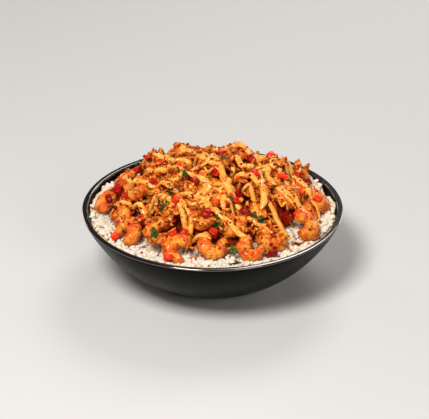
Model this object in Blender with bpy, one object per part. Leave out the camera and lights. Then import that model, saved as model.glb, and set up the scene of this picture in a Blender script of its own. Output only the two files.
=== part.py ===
"""A heaped rice bowl with curled shrimp, as solids for Blender.

A black bowl holds a dome of white rice. On the dome lies a layer of fried onion shreds with a zigzag of
thick sauce. Curled shrimp, diced red pepper and chopped herb lie on the rice and on that layer.

Lengths are in metres and +Z is up. The origin is the centre of the bowl's foot. An angle round the bowl
starts at the front, -Y, and grows towards +X.
"""

import math
import random

import bmesh
import bpy
from mathutils import Matrix, Vector, noise
from mathutils.bvhtree import BVHTree

MM = 0.001
TURN = 2 * math.pi

# The bowl is a slice of a ball with a flat foot, so one radius draws its side.
BOWL_HEIGHT = 58 * MM
BOWL_BALL_RADIUS = 110 * MM
FOOT_RADIUS = 41 * MM
WALL = 3.6 * MM
FLOOR = 4 * MM
FOOT_RING_WIDTH = 6 * MM
FOOT_RECESS = 1.2 * MM
LIP_ROUNDING = 0.9 * MM
BOWL_SIDES = 40
OUTER_STEPS = 7
INNER_STEPS = 4
BALL_CENTRE = math.sqrt(BOWL_BALL_RADIUS**2 - FOOT_RADIUS**2)

# The rice fills the bowl, and its dome is cut from a larger ball.
FIT_GAP = 0.3 * MM
RICE_TOP = 73 * MM
RICE_DOME_RADIUS = 134 * MM
RICE_EDGE_HEIGHT = 50.5 * MM
RICE_EDGE_HEAPS = 2.0 * MM
RICE_HEAP_LENGTH = 17 * MM
RICE_CLIMB_START = 80 * MM
RICE_CLIMB = 3.2 * MM
RICE_RINGS = (36 * MM, 68 * MM, 79 * MM, 84 * MM, 87.5 * MM, 91 * MM)
GRAIN_LENGTH = 5.6 * MM
GRAIN_WIDTH = 3.0 * MM
GRAIN_COUNT = 40
GRAIN_ZONE = (83.5 * MM, 92 * MM)
GRAIN_SPACING = 5.4 * MM
GRAIN_SUNK = 0.4 * MM
GRAIN_LEAN = 0.45
GRAIN_TRIES = 6000
GRAIN_CLEAR = 3.3 * MM

# The onion layer is an uneven cap over the middle of the dome, raised wherever the shrimp leave room.
CAP_RADIUS = 66 * MM
CAP_EDGE_WOBBLE = 3 * MM
CAP_THICKNESS = 3.6 * MM
CAP_LIFT = 1.4 * MM
CAP_RELIEF = 1.4 * MM
CAP_RELIEF_LENGTH = 9 * MM
CAP_STEPS = 24
CAP_EDGE_ROUNDING = 6
CAP_FILL = 8 * MM
CAP_FILL_UNEVEN = 0.6
CAP_FILL_LENGTH = 13 * MM
CAP_CLEAR = 0.5 * MM
CAP_FITTINGS = 40
CAP_RETREAT = 0.75
SHRED_COUNT = 12
SHRED_WIDTH = 3.0 * MM
SHRED_THICKNESS = 1.6 * MM
SHRED_STEPS = 3
SHRED_SUNK = 1.0 * MM
SCATTER_TRIES = 1500
SCATTER_CLEAR = 0.8 * MM
SCATTER_MARGIN = 6 * MM

# A shrimp is a tapered tube that curls on itself.
SHRIMP_CURL_RADIUS = 7.3 * MM
SHRIMP_BODY_RADIUS = 6.2 * MM
SHRIMP_CURL = math.radians(285)
SHRIMP_SIDES = 6
SHRIMP_STEPS = 9
SHRIMP_SEGMENTS = 5
SHRIMP_GROOVE = 0.07
SHRIMP_TAIL_CURL_IN = 0.16
SHRIMP_HEIGHT_SHARE = 0.88
SHRIMP_END_BULGE = 1.6 * MM
# Each ring of shrimp: how many, how far out, how far it swings in and out, where it starts.
SHRIMP_RINGS = (
    (20, 77 * MM, 3.6 * MM, -15),
    (14, 54 * MM, 2.6 * MM, -32),
    (8, 33 * MM, 2.0 * MM, 52),
    (2, 11 * MM, 0.0, -12),
)
SHRIMP_LEANS = (6, 20, 9, 2)

# Diced pepper lies between the rings of shrimp, and chopped herb on the onion layer.
PEPPER_SIDE = 6.6 * MM
PEPPER_BEVEL = 0.9 * MM
PEPPER_TRIALS = 14
PEPPER_RINGS = ((7, 66 * MM, 9), (5, 42 * MM, 86), (1, 2 * MM, 20))
HERB_LENGTH = 7.5 * MM
HERB_WIDTH = 4.6 * MM
HERB_THICKNESS = 0.7 * MM
HERB_WAVE = 0.9 * MM
HERB_STEPS = 3
HERB_COUNT = 8
HERB_SUNK = 0.6 * MM

# The sauce is one thick thread that crosses the dome in slanting passes.
SAUCE_RADIUS = 2.2 * MM
SAUCE_STEP = 9.4 * MM
SAUCE_PARTS = 6
SAUCE_SAG = 0.9
SAUCE_SLANT = math.radians(-40)
SAUCE_SPACING = 19.5 * MM
SAUCE_PASSES = 7
SAUCE_REACH = 76 * MM
SAUCE_WOBBLE = 4.5 * MM
SAUCE_SWAY_LENGTH = 24 * MM
SAUCE_CLEAR = 0.5 * MM
SAUCE_SUNK = 0.7 * MM
SAUCE_SETTLINGS = 4

REST_GAP = 0.45 * MM
DROP_HEIGHT = 160 * MM
UP = Vector((0, 0, 1))
DOWN = Vector((0, 0, -1))

COLOURS = {
    "bowl": ((0.012, 0.012, 0.013), 0.32),
    "rice": ((0.86, 0.82, 0.72), 0.55),
    "onion_mix": ((0.72, 0.30, 0.07), 0.45),
    "shrimp": ((0.80, 0.30, 0.05), 0.38),
    "pepper": ((0.72, 0.03, 0.02), 0.22),
}


def clear_scene():
    """Removes every object of the open file."""
    for obj in list(bpy.data.objects):
        bpy.data.objects.remove(obj)


def material(slot):
    """The Principled material of one kind of piece, made once."""
    found = bpy.data.materials.get(slot)
    if found:
        return found
    made = bpy.data.materials.new(slot)
    made.use_nodes = True
    shader = made.node_tree.nodes["Principled BSDF"]
    colour, roughness = COLOURS[slot]
    shader.inputs["Base Color"].default_value = (*colour, 1)
    shader.inputs["Roughness"].default_value = roughness
    return made


def add_object(name, mesh, slot, smooth_angle=math.radians(50)):
    """Links a mesh to the scene as an object, with its material and smooth shading."""
    mesh.materials.append(material(slot))
    mesh.shade_smooth()
    mesh.set_sharp_from_angle(angle=smooth_angle)
    obj = bpy.data.objects.new(name, mesh)
    bpy.context.scene.collection.objects.link(obj)
    return obj


def mesh_of(name, work):
    """Turns a bmesh into a mesh of triangles that point outwards, and frees it."""
    bmesh.ops.triangulate(work, faces=work.faces)
    bmesh.ops.recalc_face_normals(work, faces=work.faces)
    mesh = bpy.data.meshes.new(name)
    work.to_mesh(mesh)
    work.free()
    return mesh


def loft(name, rings, first_pole, last_pole):
    """Joins rings of points, one to the next, and closes both ends on a pole."""
    work = bmesh.new()
    loops = [[work.verts.new(point) for point in ring] for ring in rings]
    count = len(loops[0])
    for low, high in zip(loops, loops[1:]):
        for i in range(count):
            j = (i + 1) % count
            work.faces.new((low[i], low[j], high[j], high[i]))
    for loop, pole in ((loops[0], first_pole), (loops[-1], last_pole)):
        tip = work.verts.new(pole)
        for i in range(count):
            work.faces.new((loop[i], tip, loop[(i + 1) % count]))
    return mesh_of(name, work)


def polar(radius, angle, height):
    """A point from its distance to the bowl's axis, its angle from the front and its height."""
    return Vector((radius * math.sin(angle), -radius * math.cos(angle), height))


def ball_point(radius, angle):
    """A point (distance to the axis, height) on a ball round the bowl's own centre, from its bottom up."""
    return radius * math.sin(angle), BALL_CENTRE - radius * math.cos(angle)


def ball_angle(radius, height):
    """The angle at which ball_point gives this height."""
    return math.acos((BALL_CENTRE - height) / radius)


def spaced(start, end, steps):
    """Evenly spaced values from start to end, both included."""
    return [start + (end - start) * i / steps for i in range(steps + 1)]


def outer_side():
    """The bowl's outer side, from the foot's edge to just under the lip."""
    top = ball_angle(BOWL_BALL_RADIUS, BOWL_HEIGHT - LIP_ROUNDING)
    foot = ball_angle(BOWL_BALL_RADIUS, 0)
    return [ball_point(BOWL_BALL_RADIUS, t) for t in spaced(foot, top, OUTER_STEPS)]


def inner_side():
    """The bowl's inner side, from just under the lip down to the floor."""
    radius = BOWL_BALL_RADIUS - WALL
    top = ball_angle(radius, BOWL_HEIGHT - LIP_ROUNDING)
    floor = ball_angle(radius, FLOOR)
    return [ball_point(radius, t) for t in spaced(top, floor, INNER_STEPS)]


def inner_radius(height):
    """How far the faceted inner side is from the axis at a height."""
    side = inner_side()
    for (r_high, z_high), (r_low, z_low) in zip(side, side[1:]):
        if z_low <= height <= z_high:
            return r_low + (r_high - r_low) * (height - z_low) / (z_high - z_low)
    return side[0][0]


def build_bowl():
    """Turns the bowl's closed outline round its axis: foot ring, side, lip, inner side and floor."""
    outer, inner = outer_side(), inner_side()
    ring_inner = FOOT_RADIUS - FOOT_RING_WIDTH
    outline = [(ring_inner - FOOT_RECESS, FOOT_RECESS), (ring_inner, 0), *outer]
    outline += [(outer[-1][0] - LIP_ROUNDING, BOWL_HEIGHT), (inner[0][0] + LIP_ROUNDING, BOWL_HEIGHT)]
    outline += inner
    angles = [TURN * i / BOWL_SIDES for i in range(BOWL_SIDES)]
    rings = [[polar(r, a, z) for a in angles] for r, z in outline]
    mesh = loft("bowl", rings, (0, 0, FOOT_RECESS), (0, 0, FLOOR))
    return add_object("bowl", mesh, "bowl", math.radians(35))


def dome_height(radius):
    """The height of the smooth rice dome at a distance from the axis."""
    return RICE_TOP - RICE_DOME_RADIUS + math.sqrt(RICE_DOME_RADIUS**2 - radius**2)


def rice_height(radius, angle):
    """The height of the bare rice: the dome, and round it an uneven bank that climbs to the bowl's wall."""
    place = polar(radius, angle, 0) / RICE_HEAP_LENGTH
    heap = RICE_EDGE_HEAPS * noise.noise(place) * 2
    share = (radius - RICE_CLIMB_START) / (inner_radius(RICE_EDGE_HEIGHT) - RICE_CLIMB_START)
    return max(dome_height(radius), RICE_EDGE_HEIGHT + heap + RICE_CLIMB * max(0, share))


def grain_mesh():
    """One rice grain, a stretched ball with few faces."""
    work = bmesh.new()
    bmesh.ops.create_icosphere(work, subdivisions=1, radius=0.5)
    bmesh.ops.scale(work, vec=(GRAIN_LENGTH, GRAIN_WIDTH, GRAIN_WIDTH), verts=work.verts)
    return mesh_of("grain", work)


class Pile:
    """The pieces laid so far, searched together so that the next one comes to rest on them."""

    def __init__(self, *objects):
        """Starts with the given objects."""
        self.points = []
        self.normals = []
        self.faces = []
        self.add(*objects)

    def add(self, *objects):
        """Lays more objects and renews the search tree."""
        for obj in objects:
            start = len(self.points)
            self.points += [v.co.copy() for v in obj.data.vertices]
            self.normals += [v.normal.copy() for v in obj.data.vertices]
            self.faces += [[start + i for i in p.vertices] for p in obj.data.polygons]
        self.tree = BVHTree.FromPolygons(self.points, self.faces) if self.faces else None

    def swollen(self, room):
        """A search tree of the same pieces, each grown outwards by some room."""
        grown = [point + normal * room for point, normal in zip(self.points, self.normals)]
        return BVHTree.FromPolygons(grown, self.faces)

    def height(self, x, y):
        """The height of the highest face at a place, or below everything where there is none."""
        hit = self.tree.ray_cast(Vector((x, y, DROP_HEIGHT)), DOWN)[0]
        return hit.z if hit else -DROP_HEIGHT

    def rest(self, mesh, turn, x, y):
        """Turns a mesh, and lowers it at a place until it rests a small gap above the pile."""
        mesh.transform(Matrix.Translation((x, y, DROP_HEIGHT)) @ turn)
        points, faces = samples(mesh)
        own = BVHTree.FromPolygons([v.co for v in mesh.vertices], faces)
        falls = []
        for point in points:
            hit = self.tree.ray_cast(point, DOWN)[0]
            falls += [point.z - hit.z] if hit else []
        low = [min(p[axis] for p in points) for axis in range(2)]
        high = [max(p[axis] for p in points) for axis in range(2)]
        for point in self.points:
            if low[0] < point.x < high[0] and low[1] < point.y < high[1]:
                hit = own.ray_cast(point, UP)[0]
                falls += [hit.z - point.z] if hit else []
        mesh.transform(Matrix.Translation((0, 0, REST_GAP - min(falls))))
        while BVHTree.FromPolygons([v.co for v in mesh.vertices], faces).overlap(self.tree):
            mesh.transform(Matrix.Translation((0, 0, REST_GAP)))


def samples(mesh):
    """The corners, edge middles and face middles of a mesh, and its faces as lists of corners."""
    points = [v.co.copy() for v in mesh.vertices]
    corners = [v.co for v in mesh.vertices]
    points += [(corners[e.vertices[0]] + corners[e.vertices[1]]) / 2 for e in mesh.edges]
    points += [p.center.copy() for p in mesh.polygons]
    return points, [list(p.vertices) for p in mesh.polygons]


def tilted(angle, tilt, spin):
    """The turn of a piece that spins about its own axis, tilts outwards and is carried round the bowl."""
    return Matrix.Rotation(angle, 4, "Z") @ Matrix.Rotation(tilt, 4, "X") @ Matrix.Rotation(spin, 4, "Z")


def dome_slope(radius):
    """How steep the dome is at a distance from the axis."""
    return math.asin(radius / RICE_DOME_RADIUS)


def shells_of(work):
    """The connected shells of a bmesh, each as a set of its faces."""
    left, shells = set(work.faces), []
    while left:
        shell, front = set(), [left.pop()]
        while front:
            face = front.pop()
            shell.add(face)
            near = {other for edge in face.edges for other in edge.link_faces} & left
            left -= near
            front += near
        shells.append(shell)
    return shells


def keep_largest_shell(mesh):
    """Drops loose scraps, and fills the hollows that a union sealed, by keeping the outer shell alone."""
    work = bmesh.new()
    work.from_mesh(mesh)
    shells = sorted(shells_of(work), key=len)
    scraps = [face for shell in shells[:-1] for face in shell]
    bmesh.ops.delete(work, geom=scraps, context="FACES")
    work.to_mesh(mesh)
    work.free()


def union_all(target, pieces):
    """Fuses the pieces to the target with one Boolean union, applies it and removes them."""
    group = bpy.data.collections.new(f"{target.name} pieces")
    bpy.context.scene.collection.children.link(group)
    for piece in pieces:
        group.objects.link(piece)
    modifier = target.modifiers.new("union", "BOOLEAN")
    modifier.operation = "UNION"
    modifier.solver = "EXACT"
    modifier.operand_type = "COLLECTION"
    modifier.collection = group
    graph = bpy.context.evaluated_depsgraph_get()
    fused = bpy.data.meshes.new_from_object(target.evaluated_get(graph))
    target.modifiers.clear()
    target.data = fused
    keep_largest_shell(fused)
    for piece in pieces:
        bpy.data.objects.remove(piece)
    bpy.data.collections.remove(group)


def build_rice_core():
    """The rice without its loose grains: the bowl's filling and its dome."""
    angles = [TURN * i / BOWL_SIDES for i in range(BOWL_SIDES)]
    rings = [[polar(r, a, rice_height(r, a)) for a in angles] for r in RICE_RINGS]
    edge = []
    for a in angles:
        height = rice_height(inner_radius(RICE_EDGE_HEIGHT), a)
        edge.append(polar(inner_radius(height) - FIT_GAP, a, height))
    rings.append(edge)
    for r, z in inner_side()[1:]:
        low = max(z, FLOOR + FIT_GAP)
        rings.append([polar(r - FIT_GAP, a, low) for a in angles])
    mesh = loft("rice_bed", rings, (0, 0, RICE_TOP), (0, 0, FLOOR + FIT_GAP))
    return add_object("rice_bed", mesh, "rice")


def scatter_grains(rice, pile):
    """Fuses loose grains to the bank of rice that shows round the shrimp, clear of what lies there."""
    rng = random.Random("rice grains")
    grain = grain_mesh()
    bare = Pile(rice)
    places, grains = [], []
    for _ in range(GRAIN_TRIES):
        radius, angle = rng.uniform(*GRAIN_ZONE), rng.uniform(0, TURN)
        spin, lean = rng.uniform(0, math.pi), rng.uniform(-GRAIN_LEAN, GRAIN_LEAN)
        place = polar(radius, angle, 0)
        place.z = bare.height(place.x, place.y) + GRAIN_SUNK
        crowded = any((place - other).length < GRAIN_SPACING for other in places)
        if crowded or pile.tree.find_nearest(place, GRAIN_CLEAR)[0]:
            continue
        piece = bpy.data.objects.new("grain", grain)
        turn = Matrix.Rotation(spin, 4, "Z") @ Matrix.Rotation(lean, 4, "Y")
        piece.matrix_world = Matrix.Translation(place) @ turn
        places.append(place)
        grains.append(piece)
        if len(grains) == GRAIN_COUNT:
            break
    union_all(rice, grains)


def round_grid(steps):
    """A square grid bent to a disc of radius 1, so that its cells stay nearly one size, row after row."""
    span = spaced(-1, 1, steps)
    places = [(u * math.sqrt(1 - v * v / 2), v * math.sqrt(1 - u * u / 2)) for v in span for u in span]
    return [Vector(place) for place in places]


class OnionLayer:
    """The onion layer without its shreds: an uneven cap on the rice that fills the gaps in the shrimp."""

    def __init__(self):
        """Starts with a thin cap."""
        self.grid = round_grid(CAP_STEPS)
        self.rise = [0.0 for _ in self.grid]
        self.object = add_object("onion_mix", self.mesh(), "onion_mix")

    def point(self, place, lift):
        """The point over a place of the disc, at a height above the dome."""
        angle = math.atan2(place.x, -place.y)
        reach = CAP_RADIUS + CAP_EDGE_WOBBLE * noise.noise(polar(3, angle, 0)) * 2
        point = polar(reach * place.length, angle, 0)
        point.z = dome_height(reach * place.length) + lift
        return point

    def top_point(self, i):
        """One point of the upper face: the cap's thickness, its relief and how far it is raised there."""
        place = self.grid[i]
        bump = CAP_RELIEF * noise.noise(self.point(place, 0) / CAP_RELIEF_LENGTH)
        inward = min(1, (1 - place.length) * CAP_EDGE_ROUNDING)
        half = CAP_THICKNESS / 2
        return self.point(place, CAP_LIFT + half + inward * (half + bump + self.rise[i]))

    def mesh(self):
        """The closed cap: a gridded upper face, and a plain lower one from the same edge."""
        work = bmesh.new()
        row = CAP_STEPS + 1
        top = [work.verts.new(self.top_point(i)) for i in range(row * row)]
        for i in range(CAP_STEPS):
            for j in range(CAP_STEPS):
                k = i * row + j
                work.faces.new((top[k], top[k + 1], top[k + row + 1], top[k + row]))
        edge = [*range(CAP_STEPS), *range(CAP_STEPS, row * row - 1, row)]
        edge += [*range(row * row - 1, row * row - row, -1), *range(row * row - row, 0, -row)]
        upper = [top[k] for k in edge]
        for share in (0.99, RICE_RINGS[0] / CAP_RADIUS):
            lower = [work.verts.new(self.point(self.grid[k] * share, CAP_LIFT)) for k in edge]
            for k in range(len(edge)):
                m = (k + 1) % len(edge)
                work.faces.new((upper[k], lower[k], lower[m], upper[m]))
            upper = lower
        middle = work.verts.new((0, 0, RICE_TOP + CAP_LIFT))
        for k, point in enumerate(upper):
            work.faces.new((point, middle, upper[(k + 1) % len(upper)]))
        return mesh_of("onion_mix", work)

    def fill(self, pile):
        """Raises the layer between the pieces of a pile, and lowers it again wherever it comes near one."""
        guard = pile.swollen(CAP_CLEAR)
        for i, place in enumerate(self.grid):
            wave = noise.noise(self.point(place, 0) / CAP_FILL_LENGTH)
            self.rise[i] = CAP_FILL * (1 + CAP_FILL_UNEVEN * wave)
        for _ in range(CAP_FITTINGS):
            trial = self.mesh()
            faces = [list(p.vertices) for p in trial.polygons]
            tree = BVHTree.FromPolygons([v.co for v in trial.vertices], faces)
            near = {corner for own, _ in tree.overlap(guard) for corner in faces[own]}
            bpy.data.meshes.remove(trial)
            if not near:
                break
            for i in near & set(range(len(self.rise))):
                self.rise[i] *= CAP_RETREAT
        bpy.data.objects.remove(self.object)
        self.object = add_object("onion_mix", self.mesh(), "onion_mix")


def shrimp_mesh(name, size):
    """A peeled shrimp: a tapered tube with five body segments that curls in on itself, lying flat."""
    rings = []
    for t in spaced(0, 1, SHRIMP_STEPS - 1):
        angle = SHRIMP_CURL * t
        centre_radius = size * SHRIMP_CURL_RADIUS * (1 - SHRIMP_TAIL_CURL_IN * t)
        swell = 1 - SHRIMP_GROOVE * (1 + math.cos(TURN * SHRIMP_SEGMENTS * t))
        taper = (0.72 + 1.5 * t - 1.0 * t * t) if t < 0.3 else 1.08 - 0.72 * (t - 0.3) ** 1.25
        body = size * SHRIMP_BODY_RADIUS * taper * swell
        out = Vector((math.cos(angle), math.sin(angle), 0))
        up = UP * body * SHRIMP_HEIGHT_SHARE
        section = [TURN * i / SHRIMP_SIDES for i in range(SHRIMP_SIDES)]
        rings.append([out * (centre_radius + body * math.cos(s)) + up * math.sin(s) for s in section])
    head = sum(rings[0], Vector()) / SHRIMP_SIDES + Vector((0, -size * SHRIMP_END_BULGE, 0))
    along = Vector((-math.sin(SHRIMP_CURL), math.cos(SHRIMP_CURL), 0))
    tail = sum(rings[-1], Vector()) / SHRIMP_SIDES + along * size * SHRIMP_END_BULGE
    return loft(name, rings, head, tail)


def lay_shrimp(pile):
    """Lays the shrimp in rings, from the bank of rice up to the top of the heap."""
    laid = []
    for count, middle, swing, first in SHRIMP_RINGS:
        for i in range(count):
            name = f"shrimp_{len(laid) + 1:02d}"
            rng = random.Random(name)
            angle = math.radians(first + 360 * i / count + rng.uniform(-4, 4))
            radius = middle + swing * (1 if i % 2 == 0 else -1)
            size, spin = rng.uniform(0.9, 1.08), rng.uniform(0, TURN)
            lean = math.radians(SHRIMP_LEANS[i % len(SHRIMP_LEANS)])
            mesh = shrimp_mesh(name, size)
            place = polar(radius, angle, 0)
            pile.rest(mesh, tilted(angle, dome_slope(radius) + lean, spin), place.x, place.y)
            laid.append(add_object(name, mesh, "shrimp"))
            pile.add(laid[-1])
    return laid


def pepper_mesh(name, sides):
    """A cut cube of pepper with softened edges."""
    work = bmesh.new()
    bmesh.ops.create_cube(work, size=1)
    bmesh.ops.scale(work, vec=sides, verts=work.verts)
    bmesh.ops.bevel(work, geom=work.edges[:], offset=PEPPER_BEVEL, segments=1, affect="EDGES")
    return mesh_of(name, work)


def herb_mesh(name, size):
    """A chopped bit of leaf: a thin wavy lens, with both faces cut into triangles alike."""
    work = bmesh.new()
    sides = []
    for lift in (-HERB_THICKNESS / 2, HERB_THICKNESS / 2):
        rows = []
        for u in spaced(-1, 1, HERB_STEPS):
            along = size * HERB_LENGTH / 2 * u
            half = size * HERB_WIDTH / 2 * (1.12 - u * u)
            bend = HERB_WAVE * math.sin(2.4 * u) + lift
            row = [Vector((along, half * v, bend + HERB_WAVE * v * v)) for v in (-1, 0, 1)]
            rows.append([work.verts.new(point) for point in row])
        sides.append(rows)
        for row, next_row in zip(rows, rows[1:]):
            for j in range(2):
                work.faces.new((row[j], row[j + 1], next_row[j + 1]))
                work.faces.new((row[j], next_row[j + 1], next_row[j]))
    under, over = sides
    rim = [(i, 0) for i in range(HERB_STEPS + 1)] + [(HERB_STEPS, 1)]
    rim += [(i, 2) for i in range(HERB_STEPS, -1, -1)] + [(0, 1)]
    for (i, j), (k, m) in zip(rim, rim[1:] + rim[:1]):
        work.faces.new((under[i][j], under[k][m], over[k][m]))
        work.faces.new((under[i][j], over[k][m], over[i][j]))
    return mesh_of(name, work)


def lay_pepper(pile):
    """Lays pepper cubes in rings on the pile, each in the lowest of a few places that it tries."""
    laid = []
    for count, middle, first in PEPPER_RINGS:
        for i in range(count):
            name = f"pepper_{len(laid) + 1:02d}"
            rng = random.Random(name)
            trials = []
            for _ in range(PEPPER_TRIALS):
                angle = math.radians(first + 360 * i / count + rng.uniform(-12, 12))
                radius = middle + rng.uniform(-7, 7) * MM
                spin, lean = rng.uniform(0, TURN), rng.uniform(-0.4, 0.5)
                mesh = pepper_mesh(name, [PEPPER_SIDE * rng.uniform(0.85, 1.2) for _ in range(3)])
                place = polar(radius, angle, 0)
                pile.rest(mesh, tilted(angle, dome_slope(radius) + lean, spin), place.x, place.y)
                trials.append((min(v.co.z for v in mesh.vertices) - dome_height(radius), mesh))
            mesh = min(trials, key=lambda trial: trial[0])[1]
            laid.append(add_object(name, mesh, "pepper"))
            pile.add(laid[-1])
    return laid


def sauce_line():
    """The places that the sauce thread crosses: slanting passes there and back, joined by round turns."""
    along = Vector((math.cos(SAUCE_SLANT), math.sin(SAUCE_SLANT), 0))
    across = Vector((-along.y, along.x, 0))
    passes = []
    for k in range(SAUCE_PASSES):
        offset = (k - (SAUCE_PASSES - 1) / 2) * SAUCE_SPACING
        half = math.sqrt(SAUCE_REACH**2 - offset**2)
        side = 1 if k % 2 == 0 else -1
        steps = round(2 * half / SAUCE_STEP)
        line = []
        for s in spaced(-half, half, steps):
            sway = SAUCE_WOBBLE * noise.noise(Vector((s / SAUCE_SWAY_LENGTH, k * 3.7, 0)))
            line.append(along * s * side + across * (offset + sway))
        passes.append(line)
    places = list(passes[0])
    turn_steps = round(math.pi / 2 * SAUCE_SPACING / SAUCE_STEP)
    for k, line in enumerate(passes[1:]):
        side = 1 if k % 2 == 0 else -1
        start, end = places[-1], line[0]
        for i in range(1, turn_steps):
            turn = math.pi * i / turn_steps
            middle = start.lerp(end, (1 - math.cos(turn)) / 2)
            places.append(middle + along * side * math.sin(turn) * SAUCE_SPACING / 2)
        places += line
    return places


def sauce_floor(pile, place):
    """The lowest height at which the thread's middle clears the pieces round a place."""
    reach = SAUCE_RADIUS + SAUCE_CLEAR
    tops = [pile.height(place.x, place.y) + reach]
    for share in (0.55, 1):
        lift = math.sqrt(1 - share * share) * SAUCE_RADIUS + SAUCE_CLEAR
        for i in range(8):
            near = place + polar(reach * share, TURN * i / 8, 0)
            tops.append(pile.height(near.x, near.y) + lift)
    return max(tops)


def sauce_heights(pile, bare, fine):
    """Heights along the thread: it rests on what is highest and sags between, no steeper than thick sauce."""
    swell = [dome_height(math.hypot(p.x, p.y)) for p in fine]
    rise = []
    for place, dome in zip(fine, swell):
        sunk = bare.height(place.x, place.y) + SAUCE_RADIUS - SAUCE_SUNK
        rise.append(max(sauce_floor(pile, place), sunk) - dome)
    for order in (range(1, len(fine)), range(len(fine) - 2, -1, -1)):
        for i in order:
            before = i - order.step
            fall = SAUCE_SAG * (fine[i] - fine[before]).xy.length
            rise[i] = max(rise[i], rise[before] - fall)
    return [height + dome for height, dome in zip(rise, swell)]


def subdivided(places, parts):
    """The same line with every stretch cut into equal parts."""
    fine = [a.lerp(b, i / parts) for a, b in zip(places, places[1:]) for i in range(parts)]
    return [*fine, places[-1].copy()]


def build_sauce(pile, cap):
    """The sauce thread, draped over the shrimp and pepper and sunk into the onion layer between them."""
    places = sauce_line()
    bare = Pile(cap)
    fine = subdivided(places, SAUCE_PARTS)
    heights = sauce_heights(pile, bare, fine)
    for k, place in enumerate(places):
        place.z = heights[k * SAUCE_PARTS]
    for _ in range(SAUCE_SETTLINGS):
        for k, (a, b) in enumerate(zip(places, places[1:])):
            for i in range(1, SAUCE_PARTS):
                share = i / SAUCE_PARTS
                short = max(0, heights[k * SAUCE_PARTS + i] - a.lerp(b, share).z - SAUCE_CLEAR / 2)
                a.z += short * (1 - share)
                b.z += short * share
    curve = bpy.data.curves.new("sauce", "CURVE")
    curve.dimensions = "3D"
    curve.bevel_depth = SAUCE_RADIUS
    curve.bevel_resolution = 1
    curve.use_fill_caps = True
    spline = curve.splines.new("POLY")
    spline.points.add(len(places) - 1)
    for point, place in zip(spline.points, places):
        point.co = (*place, 1)
    drawn = bpy.data.objects.new("sauce", curve)
    bpy.context.scene.collection.objects.link(drawn)
    graph = bpy.context.evaluated_depsgraph_get()
    work = bmesh.new()
    work.from_mesh(bpy.data.meshes.new_from_object(drawn.evaluated_get(graph)))
    bpy.data.objects.remove(drawn)
    return bpy.data.objects.new("sauce", mesh_of("sauce", work))


def shred_mesh(length, bend, width, thickness):
    """A strip of fried onion that curls upwards in the middle, as a bent bar."""
    rings = []
    for t in spaced(-0.5, 0.5, SHRED_STEPS):
        angle = bend * t
        radius = length / bend
        middle = Vector((radius * math.sin(angle), 0, radius * (math.cos(angle) - math.cos(bend / 2))))
        out = Vector((math.sin(angle), 0, math.cos(angle)))
        half = Vector((0, width / 2, 0))
        rise = out * thickness / 2
        rings.append([middle + half + rise, middle - half + rise, middle - half - rise, middle + half - rise])
    ends = [sum(ring, Vector()) / 4 for ring in (rings[0], rings[-1])]
    return loft("shred", rings, *ends)


def shred_maker(rng):
    """Draws one onion shred's size, and gives a function that makes it larger by some room."""
    length, bend = rng.uniform(9, 17) * MM, rng.uniform(1.2, 2.6)
    return lambda room: shred_mesh(length + room, bend, SHRED_WIDTH + room, SHRED_THICKNESS + room)


def herb_maker(rng):
    """Draws one leaf's size, and gives a function that makes it larger by some room."""
    size = rng.uniform(0.85, 1.15)
    return lambda room: herb_mesh("herb", size + room / HERB_WIDTH)


def scatter_on(cap, pile, kind, maker, count, sunk):
    """Small pieces of one kind that stand on the onion layer wherever they are clear of other pieces."""
    rng = random.Random(kind)
    bare = Pile(cap)
    pieces = []
    for _ in range(SCATTER_TRIES):
        radius, angle = (CAP_RADIUS - SCATTER_MARGIN) * math.sqrt(rng.random()), rng.uniform(0, TURN)
        make = maker(rng)
        place = polar(radius, angle, 0)
        place.z = bare.height(place.x, place.y) - sunk
        turn = tilted(angle, dome_slope(radius) + rng.uniform(-0.3, 0.3), rng.uniform(0, math.pi))
        matrix = Matrix.Translation(place) @ turn
        guard = bpy.data.objects.new("guard", make(SCATTER_CLEAR))
        guard.data.transform(matrix)
        blocked = Pile(guard).tree.overlap(pile.tree)
        bpy.data.objects.remove(guard)
        if blocked:
            continue
        piece = bpy.data.objects.new(kind, make(0))
        piece.data.transform(matrix)
        pieces.append(piece)
        if len(pieces) == count:
            break
    return pieces


def main():
    """Builds every piece in the order in which it is laid."""
    clear_scene()
    bowl = build_bowl()
    rice = build_rice_core()
    layer = OnionLayer()
    toppings = lay_shrimp(Pile(bowl, rice, layer.object))
    layer.fill(Pile(*toppings))
    cap = layer.object
    toppings += lay_pepper(Pile(bowl, rice, cap, *toppings))
    others = Pile(bowl, rice, *toppings)
    trimmings = [build_sauce(others, cap)]
    trimmings += scatter_on(cap, others, "shred", shred_maker, SHRED_COUNT, SHRED_SUNK)
    trimmings += scatter_on(cap, others, "herb", herb_maker, HERB_COUNT, HERB_SUNK)
    union_all(cap, trimmings)
    scatter_grains(rice, Pile(bowl, cap, *toppings))


main()
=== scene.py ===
"""The looks of a heaped shrimp rice bowl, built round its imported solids.

A satin black bowl holds loose rice. On the rice lies a heap of curled, spiced shrimp with fried onion
shreds, diced red pepper and chopped herb, and a thick creamy sauce crosses it in a zigzag.

Lengths are in metres and +Z is up. The origin is the centre of the bowl's foot. An angle round the bowl
starts at the front, -Y, and grows towards +X.
"""

import logging
import math
import random
from collections.abc import Iterator, Sequence
from contextlib import contextmanager
from dataclasses import dataclass, field
from enum import Enum

import bpy
import numpy as np
from mathutils import Matrix, Vector, noise
from mathutils.bvhtree import BVHTree


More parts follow.
